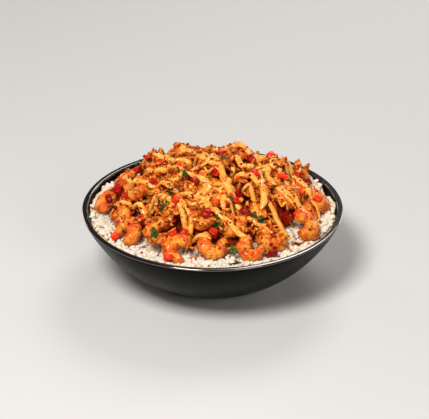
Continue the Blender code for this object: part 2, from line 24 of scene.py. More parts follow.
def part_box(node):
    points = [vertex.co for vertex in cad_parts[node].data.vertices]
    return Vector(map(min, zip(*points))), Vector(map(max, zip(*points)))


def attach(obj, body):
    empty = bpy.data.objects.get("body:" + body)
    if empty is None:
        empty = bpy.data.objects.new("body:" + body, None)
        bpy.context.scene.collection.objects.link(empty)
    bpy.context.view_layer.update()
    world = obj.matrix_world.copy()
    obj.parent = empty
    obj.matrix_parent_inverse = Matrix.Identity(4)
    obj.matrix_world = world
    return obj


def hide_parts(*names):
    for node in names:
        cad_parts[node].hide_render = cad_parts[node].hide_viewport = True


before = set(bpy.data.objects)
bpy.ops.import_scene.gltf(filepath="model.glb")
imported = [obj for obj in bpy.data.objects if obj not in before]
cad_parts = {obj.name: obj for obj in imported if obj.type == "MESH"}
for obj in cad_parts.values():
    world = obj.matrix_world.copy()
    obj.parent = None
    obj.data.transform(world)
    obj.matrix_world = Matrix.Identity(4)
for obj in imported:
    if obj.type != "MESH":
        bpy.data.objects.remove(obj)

MM = 0.001
TURN = 2 * math.pi
UP = Vector((0, 0, 1))
DOWN = Vector((0, 0, -1))
DROP_HEIGHT = 160 * MM
BODY = "root"

Colour = tuple[float, float, float]
Outline = list[tuple[float, float]]

log = logging.getLogger("rice bowl")


# Tools for modelling


def deselect_all() -> None:
    """Deselects every object, so that the next operator acts on its own object alone."""
    for obj in bpy.context.selected_objects:
        obj.select_set(False)


def take(obj: bpy.types.Object) -> None:
    """Makes an object the only selected one and the active one.

    Args:
        obj: The object that the next operators act on.
    """
    deselect_all()
    obj.select_set(True)
    bpy.context.view_layer.objects.active = obj


@contextmanager
def editing(obj: bpy.types.Object) -> Iterator[None]:
    """Opens an object in edit mode for as long as the with block lasts.

    Args:
        obj: The mesh object to edit.

    Yields:
        Nothing.
    """
    take(obj)
    bpy.ops.object.mode_set(mode="EDIT")
    try:
        yield
    finally:
        bpy.ops.object.mode_set(mode="OBJECT")


def apply_modifiers(obj: bpy.types.Object) -> None:
    """Applies all modifiers of an object, from the first to the last.

    Args:
        obj: The mesh object.
    """
    take(obj)
    for modifier in obj.modifiers[:]:
        bpy.ops.object.modifier_apply(modifier=modifier.name)


def apply_place(obj: bpy.types.Object) -> None:
    """Moves an object's place, turn and size into its mesh.

    Args:
        obj: The mesh object.
    """
    take(obj)
    bpy.ops.object.transform_apply(location=True, rotation=True, scale=True)


def smooth_faces(obj: bpy.types.Object, angle: float = math.radians(60)) -> None:
    """Shades an object smooth, with sharp edges where it bends by more than an angle.

    Args:
        obj: The mesh object.
        angle: The bend from which an edge stays sharp.
    """
    take(obj)
    bpy.ops.object.shade_smooth_by_angle(angle=angle)


def polar(radius: float, angle: float, height: float) -> Vector:
    """Gives a point of the bowl's space.

    Args:
        radius: Distance to the bowl's axis.
        angle: Angle round the bowl, from the front.
        height: Height above the surface that the bowl stands on.

    Returns:
        The point.
    """
    return Vector((radius * math.sin(angle), -radius * math.cos(angle), height))


def spaced(start: float, end: float, steps: int) -> list[float]:
    """Spaces values evenly.

    Args:
        start: The first value.
        end: The last value.
        steps: How many steps lie between them.

    Returns:
        The values, with start and end.
    """
    return [start + (end - start) * i / steps for i in range(steps + 1)]


def arc(centre: tuple[float, float], radius: float, start: float, end: float, steps: int) -> Outline:
    """Draws a round stretch of an outline.

    Args:
        centre: The arc's centre, as (distance to the axis, height).
        radius: The arc's radius.
        start: The first angle, from straight outwards and up.
        end: The last angle.
        steps: How many steps the arc has.

    Returns:
        The points, as (distance to the axis, height).
    """
    x, z = centre
    return [(x + radius * math.cos(t), z + radius * math.sin(t)) for t in spaced(start, end, steps)]


def tilted(angle: float, tilt: float, spin: float) -> Matrix:
    """Turns a piece as it lies on the heap.

    Args:
        angle: Where it lies round the bowl.
        tilt: How far it leans outwards.
        spin: How far it is turned about its own axis first.

    Returns:
        The turn.
    """
    return Matrix.Rotation(angle, 4, "Z") @ Matrix.Rotation(tilt, 4, "X") @ Matrix.Rotation(spin, 4, "Z")


def turned(name: str, outline: Outline, sides: int) -> bpy.types.Object:
    """Turns an outline round the bowl's axis, one extruded ring after the other, and closes both ends.

    Args:
        name: The object's name.
        outline: The outline's points, as (distance to the axis, height).
        sides: How many sides the round shape has.

    Returns:
        The closed shape.
    """
    deselect_all()
    radius, height = outline[0]
    bpy.ops.mesh.primitive_circle_add(vertices=sides, radius=radius, location=(0, 0, height))
    obj = bpy.context.object
    obj.name = name
    apply_place(obj)
    with editing(obj):
        bpy.ops.mesh.select_all(action="SELECT")
        for (r, z), (next_r, next_z) in zip(outline, outline[1:]):
            bpy.ops.mesh.extrude_region_move()
            grow = next_r / r
            bpy.ops.transform.resize(value=(grow, grow, 1), center_override=(0, 0, z))
            bpy.ops.transform.translate(value=(0, 0, next_z - z))
        bpy.ops.mesh.select_all(action="SELECT")
        bpy.ops.mesh.fill_holes(sides=0)
        bpy.ops.mesh.select_all(action="SELECT")
        bpy.ops.mesh.normals_make_consistent(inside=False)
    return obj


def cloud_texture(size: float, depth: int = 2) -> bpy.types.Texture:
    """Makes a cloudy pattern for relief.

    Args:
        size: The size of its lumps.
        depth: How many finer patterns are added to the first.

    Returns:
        The texture.
    """
    texture = bpy.data.textures.new("relief", "CLOUDS")
    texture.noise_scale = size
    texture.noise_depth = depth
    return texture


def add_relief(obj: bpy.types.Object, size: float, strength: float, depth: int = 2) -> None:
    """Adds a modifier that raises and lowers a surface in lumps.

    Args:
        obj: The mesh object.
        size: The size of the lumps.
        strength: The height between the lowest and the highest place.
        depth: How many finer patterns are added to the first.
    """
    modifier = obj.modifiers.new("relief", "DISPLACE")
    modifier.texture = cloud_texture(size, depth)
    modifier.texture_coords = "LOCAL"
    modifier.strength = strength
    modifier.mid_level = 0.5


def add_rounding(obj: bpy.types.Object, levels: int) -> None:
    """Adds a modifier that rounds a mesh by subdivision.

    Args:
        obj: The mesh object.
        levels: How often each face is divided.
    """
    modifier = obj.modifiers.new("rounding", "SUBSURF")
    modifier.levels = modifier.render_levels = levels


def finish_piece(obj: bpy.types.Object, look: bpy.types.Material, nodes: Sequence[str]) -> None:
    """Gives a piece its material, lets it ride on the bowl and hides the solids that it stands for.

    Args:
        obj: The piece.
        look: Its material.
        nodes: The solids that it replaces.
    """
    obj.data.materials.clear()
    obj.data.materials.append(look)
    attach(obj, BODY)
    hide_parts(*nodes)
    obj.data.calc_loop_triangles()
    log.info("%s: %d triangles", obj.name, len(obj.data.loop_triangles))


# Copies and what they rest on


def mesh_arrays(mesh: bpy.types.Mesh) -> tuple[np.ndarray, np.ndarray]:
    """Reads a mesh as arrays.

    Args:
        mesh: The mesh.

    Returns:
        Its corners and its triangles, one row each.
    """
    mesh.calc_loop_triangles()
    corners = np.empty(len(mesh.vertices) * 3)
    mesh.vertices.foreach_get("co", corners)
    triangles = np.empty(len(mesh.loop_triangles) * 3, int)
    mesh.loop_triangles.foreach_get("vertices", triangles)
    return corners.reshape(-1, 3), triangles.reshape(-1, 3)


@dataclass
class Kind:
    """The mesh of one kind of small thing, as arrays to copy from."""

    corners: np.ndarray
    triangles: np.ndarray

    @classmethod
    def of(cls, obj: bpy.types.Object) -> "Kind":
        """Takes the mesh of a modelled object, and removes the object.

        Args:
            obj: The modelled object.

        Returns:
            The kind.
        """
        kind = cls(*mesh_arrays(obj.data))
        bpy.data.objects.remove(obj)
        return kind

    def placed(self, matrix: Matrix) -> np.ndarray:
        """Gives the corners of a copy.

        Args:
            matrix: The copy's place, turn and size.

        Returns:
            The corners, one row each.
        """
        turn = np.array(matrix)
        return self.corners @ turn[:3, :3].T + turn[:3, 3]


@dataclass
class Scatter:
    """Many copies of a few kinds, joined into one mesh. Each copy has its own tone."""

    name: str
    corners: list[np.ndarray] = field(default_factory=list)
    triangles: list[np.ndarray] = field(default_factory=list)
    tones: list[np.ndarray] = field(default_factory=list)
    count: int = 0

    def add(self, kind: Kind, matrix: Matrix, tone: float) -> None:
        """Adds a copy.

        Args:
            kind: What is copied.
            matrix: The copy's place, turn and size.
            tone: A number from 0 to 1 that its material reads.
        """
        self.corners.append(kind.placed(matrix))
        self.triangles.append(kind.triangles + self.count)
        self.tones.append(np.full(len(kind.corners), tone))
        self.count += len(kind.corners)

    def join(self) -> bpy.types.Object:
        """Joins the copies.

        Returns:
            One object with all of them, at the origin.
        """
        mesh = bpy.data.meshes.new(self.name)
        mesh.from_pydata(np.concatenate(self.corners).tolist(), [], np.concatenate(self.triangles).tolist())
        mesh.attributes.new("tone", "FLOAT", "POINT").data.foreach_set("value", np.concatenate(self.tones))
        mesh.shade_smooth()
        obj = bpy.data.objects.new(self.name, mesh)
        bpy.context.scene.collection.objects.link(obj)
        return obj


class Surface:
    """The surface of the pieces laid so far, searched from above."""

    def __init__(self, *objects: bpy.types.Object, extra: Scatter | None = None) -> None:
        """Starts with the given objects.

        Args:
            objects: Mesh objects at the origin.
            extra: Copies that aren't joined yet.
        """
        parts = [mesh_arrays(obj.data) for obj in objects]
        if extra:
            parts += zip(extra.corners, [t - t.min() for t in extra.triangles])
        points: list[Sequence[float]] = []
        faces: list[Sequence[int]] = []
        for corners, triangles in parts:
            faces += (triangles + len(points)).tolist()
            points += corners.tolist()
        self.tree = BVHTree.FromPolygons(points, faces)

    def below(self, x: float, y: float) -> tuple[Vector, Vector] | None:
        """Finds the highest surface at a place.

        Args:
            x: The place's first coordinate.
            y: The place's second coordinate.

        Returns:
            The point and its normal, or None where there is nothing.
        """
        hit, normal = self.tree.ray_cast(Vector((x, y, DROP_HEIGHT)), DOWN)[:2]
        return (hit, normal) if hit else None

    def height(self, x: float, y: float) -> float:
        """Gives the height of the highest surface at a place, or 0 where there is nothing."""
        found = self.below(x, y)
        return found[0].z if found else 0.0

    def settle(self, kind: Kind, matrix: Matrix, share: float, sunk: float) -> Matrix:
        """Lowers a copy until a share of its corners is at or under the surface.

        Args:
            kind: What is copied.
            matrix: The copy's place, turn and size before it is lowered.
            share: The share of the corners that reach the surface.
            sunk: How much further the copy goes down.

        Returns:
            The copy's place, turn and size after it is lowered.
        """
        gaps = [z - self.height(x, y) for x, y, z in kind.placed(matrix)[::3]]
        return Matrix.Translation((0, 0, -float(np.quantile(gaps, share)) - sunk)) @ matrix


# Tools for materials


@dataclass
class NodeSheet:
    """Adds nodes to one material or node group."""

    tree: bpy.types.NodeTree

    def add(
        self, kind: str, inputs: dict[str | int, object] | None = None, **settings: object
    ) -> bpy.types.Node:
        """Adds a node.

        Args:
            kind: The node's type.
            inputs: Values or other nodes' outputs, by the input's name or number.
            settings: The node's own settings.

        Returns:
            The node.
        """
        node = self.tree.nodes.new(kind)
        for key, value in settings.items():
            setattr(node, key, value)
        for key, value in (inputs or {}).items():
            if isinstance(value, bpy.types.NodeSocket):
                self.tree.links.new(value, node.inputs[key])
            else:
                node.inputs[key].default_value = value
        return node

    def blend(self, mask: bpy.types.NodeSocket, low: object, high: object) -> bpy.types.NodeSocket:
        """Mixes two colours by a mask.

        Args:
            mask: The mask, 0 for the first colour.
            low: The first colour, or a socket.
            high: The second colour, or a socket.

        Returns:
            The mixed colour.
        """
        colours = [(*c, 1) if isinstance(c, tuple) else c for c in (low, high)]
        node = self.add("ShaderNodeMix", data_type="RGBA")
        for key, value in ((0, mask), (6, colours[0]), (7, colours[1])):
            if isinstance(value, bpy.types.NodeSocket):
                self.tree.links.new(value, node.inputs[key])
            else:
                node.inputs[key].default_value = value
        return node.outputs[2]

    def remap(
        self, value: bpy.types.NodeSocket, start: object, end: object, low: float = 0, high: float = 1
    ) -> bpy.types.NodeSocket:
        """Stretches a range of a value to another range, and clamps it there.

        Args:
            value: The value.
            start: Where the range starts.
            end: Where it ends.
            low: The result at its start.
            high: The result at its end.

        Returns:
            The new value.
        """
        inputs = {"Value": value, "From Min": start, "From Max": end, "To Min": low, "To Max": high}
        return self.add("ShaderNodeMapRange", inputs).outputs["Result"]

    def maths(self, operation: str, first: object, second: object = 0.0) -> bpy.types.NodeSocket:
        """Does a sum with two values.

        Args:
            operation: The name of the sum.
            first: The first value.
            second: The second value.

        Returns:
            The result.
        """
        return self.add("ShaderNodeMath", {0: first, 1: second}, operation=operation).outputs[0]


def group_of(
    name: str, inputs: dict[str, tuple[str, float]], output: str
) -> tuple[bpy.types.NodeTree, bool]:
    """Finds a shader node group by its name, or makes an empty one.

    Args:
        name: The group's name.
        inputs: For each input its kind, Float or Vector, and its usual value.
        output: The name of its output, which is a value.

    Returns:
        The group, and whether it is new.
    """
    found = bpy.data.node_groups.get(name)
    if found:
        return found, False
    tree = bpy.data.node_groups.new(name, "ShaderNodeTree")
    for key, (kind, value) in inputs.items():
        socket = tree.interface.new_socket(key, in_out="INPUT", socket_type=f"NodeSocket{kind}")
        if kind == "Float":
            socket.default_value = value
    tree.interface.new_socket(output, in_out="OUTPUT", socket_type="NodeSocketFloat")
    return tree, True


def patches_group() -> bpy.types.NodeTree:
    """Makes the group for uneven colour: a mask of soft patches.

    Returns:
        The group, with the inputs Vector, Size, Low and High and the output Mask.
    """
    usual = {"Vector": ("Vector", 0.0), "Size": ("Float", 5 * MM)}
    usual |= {"Low": ("Float", 0.4), "High": ("Float", 0.6)}
    tree, new = group_of("uneven patches", usual, "Mask")
    if new:
        sheet = NodeSheet(tree)
        given = sheet.add("NodeGroupInput").outputs
        scale = sheet.maths("DIVIDE", 1.0, given["Size"])
        cloud = sheet.add("ShaderNodeTexNoise", {"Vector": given["Vector"], "Scale": scale, "Detail": 3.0})
        mask = sheet.remap(cloud.outputs["Fac"], given["Low"], given["High"])
        sheet.add("NodeGroupOutput", {"Mask": mask})
    return tree


def specks_group() -> bpy.types.NodeTree:
    """Makes the group for ground spice: a mask of small uneven specks.

    Returns:
        The group, with the inputs Vector, Size and Amount and the output Mask.
    """
    usual = {"Vector": ("Vector", 0.0), "Size": ("Float", 1 * MM), "Amount": ("Float", 0.25)}
    tree, new = group_of("spice specks", usual, "Mask")
    if new:
        sheet = NodeSheet(tree)
        given = sheet.add("NodeGroupInput").outputs
        scale = sheet.maths("DIVIDE", 1.0, given["Size"])
        cells = sheet.add("ShaderNodeTexVoronoi", {"Vector": given["Vector"], "Scale": scale})
        chance = sheet.add("ShaderNodeSeparateColor", {"Color": cells.outputs["Color"]}).outputs["Red"]
        reach = sheet.maths("MULTIPLY", sheet.maths("LESS_THAN", chance, given["Amount"]), 0.38)
        near = sheet.maths("LESS_THAN", cells.outputs["Distance"], reach)
        sheet.add("NodeGroupOutput", {"Mask": near})
    return tree


def relief_group() -> bpy.types.NodeTree:
    """Makes the group for fine relief: a height of lumps with finer grain on them.

    Returns:
        The group, with the inputs Vector, Size and Grain and the output Height.
    """
    usual = {"Vector": ("Vector", 0.0), "Size": ("Float", 2 * MM), "Grain": ("Float", 0.3)}
    tree, new = group_of("food relief", usual, "Height")
    if new:
        sheet = NodeSheet(tree)
        given = sheet.add("NodeGroupInput").outputs
        scale = sheet.maths("DIVIDE", 1.0, given["Size"])
        lumps = sheet.add("ShaderNodeTexNoise", {"Vector": given["Vector"], "Scale": scale, "Detail": 4.0})
        finer = sheet.maths("MULTIPLY", scale, 5.0)
        fine = sheet.add("ShaderNodeTexNoise", {"Vector": given["Vector"], "Scale": finer})
        grain = sheet.maths("MULTIPLY", fine.outputs["Fac"], given["Grain"])
        sheet.add("NodeGroupOutput", {"Height": sheet.maths("ADD", lumps.outputs["Fac"], grain)})
    return tree


def place_patches(
    sheet: NodeSheet, place: bpy.types.NodeSocket, size: float, share: tuple[float, float]
) -> bpy.types.NodeSocket:
    """Places the group for uneven colour in a material.

    Args:
        sheet: The material's nodes.
        place: The surface's place.
        size: The size of the patches.
        share: From where to where in the pattern the mask rises.

    Returns:
        The mask.
    """
    inputs = {"Vector": place, "Size": size, "Low": share[0], "High": share[1]}
    return sheet.add("ShaderNodeGroup", inputs, node_tree=patches_group()).outputs["Mask"]


def place_relief(sheet: NodeSheet, place: bpy.types.NodeSocket, size: float) -> bpy.types.NodeSocket:
    """Places the group for fine relief in a material.

    Args:
        sheet: The material's nodes.
        place: The surface's place.
        size: The size of the lumps.

    Returns:
        The height.
    """
    inputs = {"Vector": place, "Size": size}
    return sheet.add("ShaderNodeGroup", inputs, node_tree=relief_group()).outputs["Height"]


# Finishes


@dataclass(frozen=True)
class FoodFinish:
    """A moist food surface: two colours in patches, a third in streaks, spice on them and an uneven glaze."""

    name: str
    light: Colour
    dark: Colour
    patch: float
    deep: Colour
    dark_share: tuple[float, float] = (0.38, 0.62)
    deep_size: float = 0.55
    deep_share: tuple[float, float] = (0.55, 0.75)
    speck: Colour = (0.25, 0.04, 0.01)
    speck_size: float = 1.0 * MM
    speck_amount: float = 0.0
    gloss: tuple[float, float] = (0.3, 0.55)
    relief: float = 0.3 * MM
    relief_size: float = 1.6 * MM
    soft: float = 0.0
    soft_reach: Colour = (1.5 * MM, 0.7 * MM, 0.3 * MM)
    coat: float = 0.0
    coat_roughness: float = 0.09
    shine: float = 0.22
    tone_spread: float = 0.0
    painted_groove_shade: bool = False

    def colour(self, sheet: NodeSheet, place: bpy.types.NodeSocket) -> bpy.types.NodeSocket:
        """Builds the surface's colour.

        Args:
            sheet: The material's nodes.
            place: The surface's place.

        Returns:
            The colour.
        """
        patches = place_patches(sheet, place, self.patch, self.dark_share)
        deeper = place_patches(sheet, place, self.patch * self.deep_size, self.deep_share)
        colour = sheet.blend(patches, self.light, self.dark)
        colour = sheet.blend(deeper, colour, self.deep)
        # Painted shade: the grooves between a shrimp's segments are darkened towards the deep colour.
        if self.painted_groove_shade:
            groove = sheet.add("ShaderNodeAttribute", attribute_name="groove").outputs["Fac"]
            uneven = sheet.maths("MULTIPLY", groove, sheet.maths("ADD", deeper, 0.6))
            colour = sheet.blend(sheet.remap(uneven, 0.1, 1.2, 0, 0.8), colour, self.deep)
        if self.tone_spread:
            tone = sheet.add("ShaderNodeAttribute", attribute_name="tone").outputs["Fac"]
            value = sheet.remap(tone, 0, 1, 1 - self.tone_spread, 1 + self.tone_spread)
            shade = sheet.add("ShaderNodeHueSaturation", {"Value": value, "Color": colour})
            colour = shade.outputs["Color"]
        if self.speck_amount:
            inputs = {"Vector": place, "Size": self.speck_size, "Amount": self.speck_amount}
            specks = sheet.add("ShaderNodeGroup", inputs, node_tree=specks_group())
            colour = sheet.blend(specks.outputs["Mask"], colour, self.speck)
        return colour

    def material(self) -> bpy.types.Material:
        """Builds the material, once.

        Returns:
            The material.
        """
        found = bpy.data.materials.get(self.name)
        if found:
            return found
        made = bpy.data.materials.new(self.name)
        made.use_nodes = True
        sheet = NodeSheet(made.node_tree)
        place = sheet.add("ShaderNodeTexCoord").outputs["Object"]
        shader = made.node_tree.nodes["Principled BSDF"]
        height = place_relief(sheet, place, self.relief_size)
        bump = sheet.add("ShaderNodeBump", {"Height": height, "Distance": self.relief, "Strength": 1.0})
        rough = sheet.remap(height, 0.4, 0.9, *self.gloss)
        for socket, name in ((self.colour(sheet, place), "Base Color"), (rough, "Roughness")):
            sheet.tree.links.new(socket, shader.inputs[name])
        sheet.tree.links.new(bump.outputs["Normal"], shader.inputs["Normal"])
        shader.inputs["Subsurface Weight"].default_value = self.soft
        shader.inputs["Subsurface Radius"].default_value = self.soft_reach
        shader.inputs["Subsurface Scale"].default_value = 1.0
        shader.inputs["Coat Weight"].default_value = self.coat
        shader.inputs["Coat Roughness"].default_value = self.coat_roughness
        shader.inputs["Specular IOR Level"].default_value = self.shine
        return made


@dataclass(frozen=True)
class GlazeFinish:
    """The bowl's black satin glaze: nearly black and uneven in gloss, with a glossier lip."""

    name: str = "black_glaze"
    colour: Colour = (0.0010, 0.0010, 0.0011)
    worn: Colour = (0.0022, 0.0022, 0.0023)
    gloss: tuple[float, float] = (0.26, 0.38)
    waves: float = 22 * MM
    wave_share: tuple[float, float] = (0.3, 0.7)
    ripple: float = 0.05 * MM
    body_ior: float = 1.12
    lip_height: float = 56.4 * MM
    lip_blend: float = 0.5 * MM
    lip_roughness: float = 0.1
    lip_ior: float = 2.3

    def material(self) -> bpy.types.Material:
        """Builds the material.

        Returns:
            The material.
        """
        made = bpy.data.materials.new(self.name)
        made.use_nodes = True
        sheet = NodeSheet(made.node_tree)
        place = sheet.add("ShaderNodeTexCoord").outputs["Object"]
        shader = made.node_tree.nodes["Principled BSDF"]
        mask = place_patches(sheet, place, self.waves, self.wave_share)
        ripples = place_relief(sheet, place, self.waves / 3)
        bump = sheet.add("ShaderNodeBump", {"Height": ripples, "Distance": self.ripple})
        height = sheet.add("ShaderNodeSeparateXYZ", {"Vector": place}).outputs["Z"]
        lip = sheet.remap(height, self.lip_height, self.lip_height + self.lip_blend)
        sheet.tree.links.new(sheet.blend(mask, self.colour, self.worn), shader.inputs["Base Color"])
        sheet.tree.links.new(sheet.remap(mask, 0, 1, *self.gloss), shader.inputs["Roughness"])
        sheet.tree.links.new(bump.outputs["Normal"], shader.inputs["Normal"])
        sheet.tree.links.new(lip, shader.inputs["Coat Weight"])
        shader.inputs["Coat Roughness"].default_value = self.lip_roughness
        shader.inputs["Coat IOR"].default_value = self.lip_ior
        shader.inputs["IOR"].default_value = self.body_ior
        return made


RICE = FoodFinish(
    "cooked_rice", (0.79, 0.74, 0.67), (0.73, 0.65, 0.55), 4 * MM, (0.68, 0.55, 0.42),
    deep_share=(0.60, 0.88), gloss=(0.25, 0.45), relief=0.06 * MM, soft=0.25, tone_spread=0.06,
)
# The bed shows between the loose grains. Its colours are darker and warmer than theirs, as painted shade in
# those gaps.
RICE_BED_PAINTED_SHADE = FoodFinish(
    "rice_bed_painted_shade", (0.80, 0.66, 0.48), (0.68, 0.50, 0.32), 4 * MM, (0.55, 0.33, 0.16),
    gloss=(0.3, 0.5), relief=0.5 * MM, relief_size=1.8 * MM, soft=0.2,
)
SHRIMP = FoodFinish(
    "glazed_shrimp", (0.97, 0.38, 0.042), (0.80, 0.115, 0.006), 6.5 * MM, (0.42, 0.028, 0.002),
    deep_share=(0.52, 0.72), speck=(0.26, 0.030, 0.005), speck_size=1.4 * MM, speck_amount=0.16,
    gloss=(0.2, 0.42), relief=0.9 * MM, relief_size=1.6 * MM, soft=0.05, coat=0.28, shine=0.16, painted_groove_shade=True,
)
ONION = FoodFinish(
    "fried_onion", (0.89, 0.34, 0.046), (0.58, 0.095, 0.006), 3 * MM, (0.17, 0.009, 0.001),
    deep_share=(0.48, 0.64), speck_size=1.2 * MM, speck_amount=0.10, gloss=(0.3, 0.55), relief=0.5 * MM,
    relief_size=1.0 * MM, shine=0.12, tone_spread=0.34,
)
CRUMB = FoodFinish(
    "onion_crumb", (0.78, 0.24, 0.030), (0.34, 0.036, 0.004), 3 * MM, (0.11, 0.006, 0.001),
    deep_share=(0.44, 0.60), gloss=(0.3, 0.55), relief=0.4 * MM, relief_size=1.0 * MM, shine=0.12,
    tone_spread=0.4,
)
# The onion layer's own dark colour, darkened further as painted shade in the gaps between the shrimp, where it
# shows.
ONION_BED_PAINTED_SHADE = FoodFinish(
    "onion_bed", (0.36, 0.038, 0.002), (0.16, 0.008, 0.001), 3 * MM, (0.05, 0.002, 0.001),
    speck_amount=0.1, gloss=(0.25, 0.5), relief=1.0 * MM, relief_size=1.4 * MM, shine=0.1,
)
SAUCE = FoodFinish(
    "creamy_sauce", (0.95, 0.51, 0.110), (0.92, 0.36, 0.048), 6 * MM, (0.78, 0.19, 0.017),
    deep_share=(0.54, 0.76), speck=(0.40, 0.04, 0.006), speck_size=1.3 * MM, speck_amount=0.16,
    gloss=(0.14, 0.28), relief=0.4 * MM, relief_size=2.5 * MM, soft=0.08, coat=0.35,
)
RED_PEPPER = FoodFinish(
    "red_pepper", (0.82, 0.034, 0.010), (0.60, 0.014, 0.005), 4 * MM, (0.90, 0.12, 0.022),
    gloss=(0.12, 0.26), relief=0.2 * MM, soft=0.05, coat=0.25, shine=0.12, tone_spread=0.25,
)
CRIMSON_PEPPER = FoodFinish(
    "crimson_pepper", (0.37, 0.009, 0.005), (0.20, 0.004, 0.003), 4 * MM, (0.52, 0.026, 0.008),
    gloss=(0.12, 0.26), relief=0.2 * MM, soft=0.05, coat=0.18, shine=0.10, tone_spread=0.25,
)
HERB = FoodFinish(
    "chopped_herb", (0.045, 0.110, 0.014), (0.014, 0.042, 0.006), 2.5 * MM, (0.10, 0.17, 0.03),
    gloss=(0.25, 0.45), relief=0.2 * MM, relief_size=0.9 * MM, tone_spread=0.35,
)


# The bowl


@dataclass
class Bowl:
    """The black bowl, a slice of a ball with a flat foot, a foot ring and a softly rounded lip."""

    height: float = 58 * MM
    ball_radius: float = 110 * MM
    foot_radius: float = 41 * MM
    wall: float = 3.6 * MM
    floor: float = 4 * MM
    ring_width: float = 6 * MM
    ring_rounding: float = 0.8 * MM
    recess: float = 1.2 * MM
    lip_rounding: float = 0.9 * MM
    sides: int = 160

    @property
    def centre(self) -> float:
        """The height of the ball's centre."""
        return math.sqrt(self.ball_radius**2 - self.foot_radius**2)

    def side(self, radius: float, start: float, end: float, steps: int) -> Outline:
        """Draws a stretch of a side that follows a ball.

        Args:
            radius: The ball's radius.
            start: The height where the stretch starts.
            end: The height where it ends.
            steps: How many steps it has.

        Returns:
            The points, as (distance to the axis, height).
        """
        turns = [math.acos((self.centre - height) / radius) for height in (start, end)]
        return [(radius * math.sin(t), self.centre - radius * math.cos(t)) for t in spaced(*turns, steps)]

    def inner_radius(self, height: float) -> float:
        """Gives the inner side's distance to the axis at a height."""
        return self.side(self.ball_radius - self.wall, height, height, 1)[0][0]

    def outline(self) -> Outline:
        """Draws the whole outline, from the recess under the foot over the lip to the floor inside.

        Returns:
            The points, as (distance to the axis, height).
        """
        ring = self.foot_radius - self.ring_width
        lip = self.height - self.lip_rounding
        outer = self.side(self.ball_radius, self.ring_rounding / 2, lip, 26)
        inner = self.side(self.ball_radius - self.wall, lip, self.floor, 22)
        rounding = self.lip_rounding
        points = [(ring - self.recess, self.recess)]
        points += [(ring - self.ring_rounding / 2, self.ring_rounding / 4), (ring, 0)]
        points += [(self.foot_radius - self.ring_rounding, 0), *outer]
        points += arc((outer[-1][0] - rounding, lip), rounding, 0.3, math.pi / 2, 5)
        points += arc((inner[0][0] + rounding, lip), rounding, math.pi / 2, math.pi - 0.3, 5)
        return points + inner

    def build(self) -> bpy.types.Object:
        """Turns and dresses the bowl.

        Returns:
            The bowl.
        """
        obj = turned("glazed_bowl", self.outline(), self.sides)
        smooth_faces(obj, math.radians(40))
        finish_piece(obj, GlazeFinish().material(), ["bowl"])
        return obj


# The rice


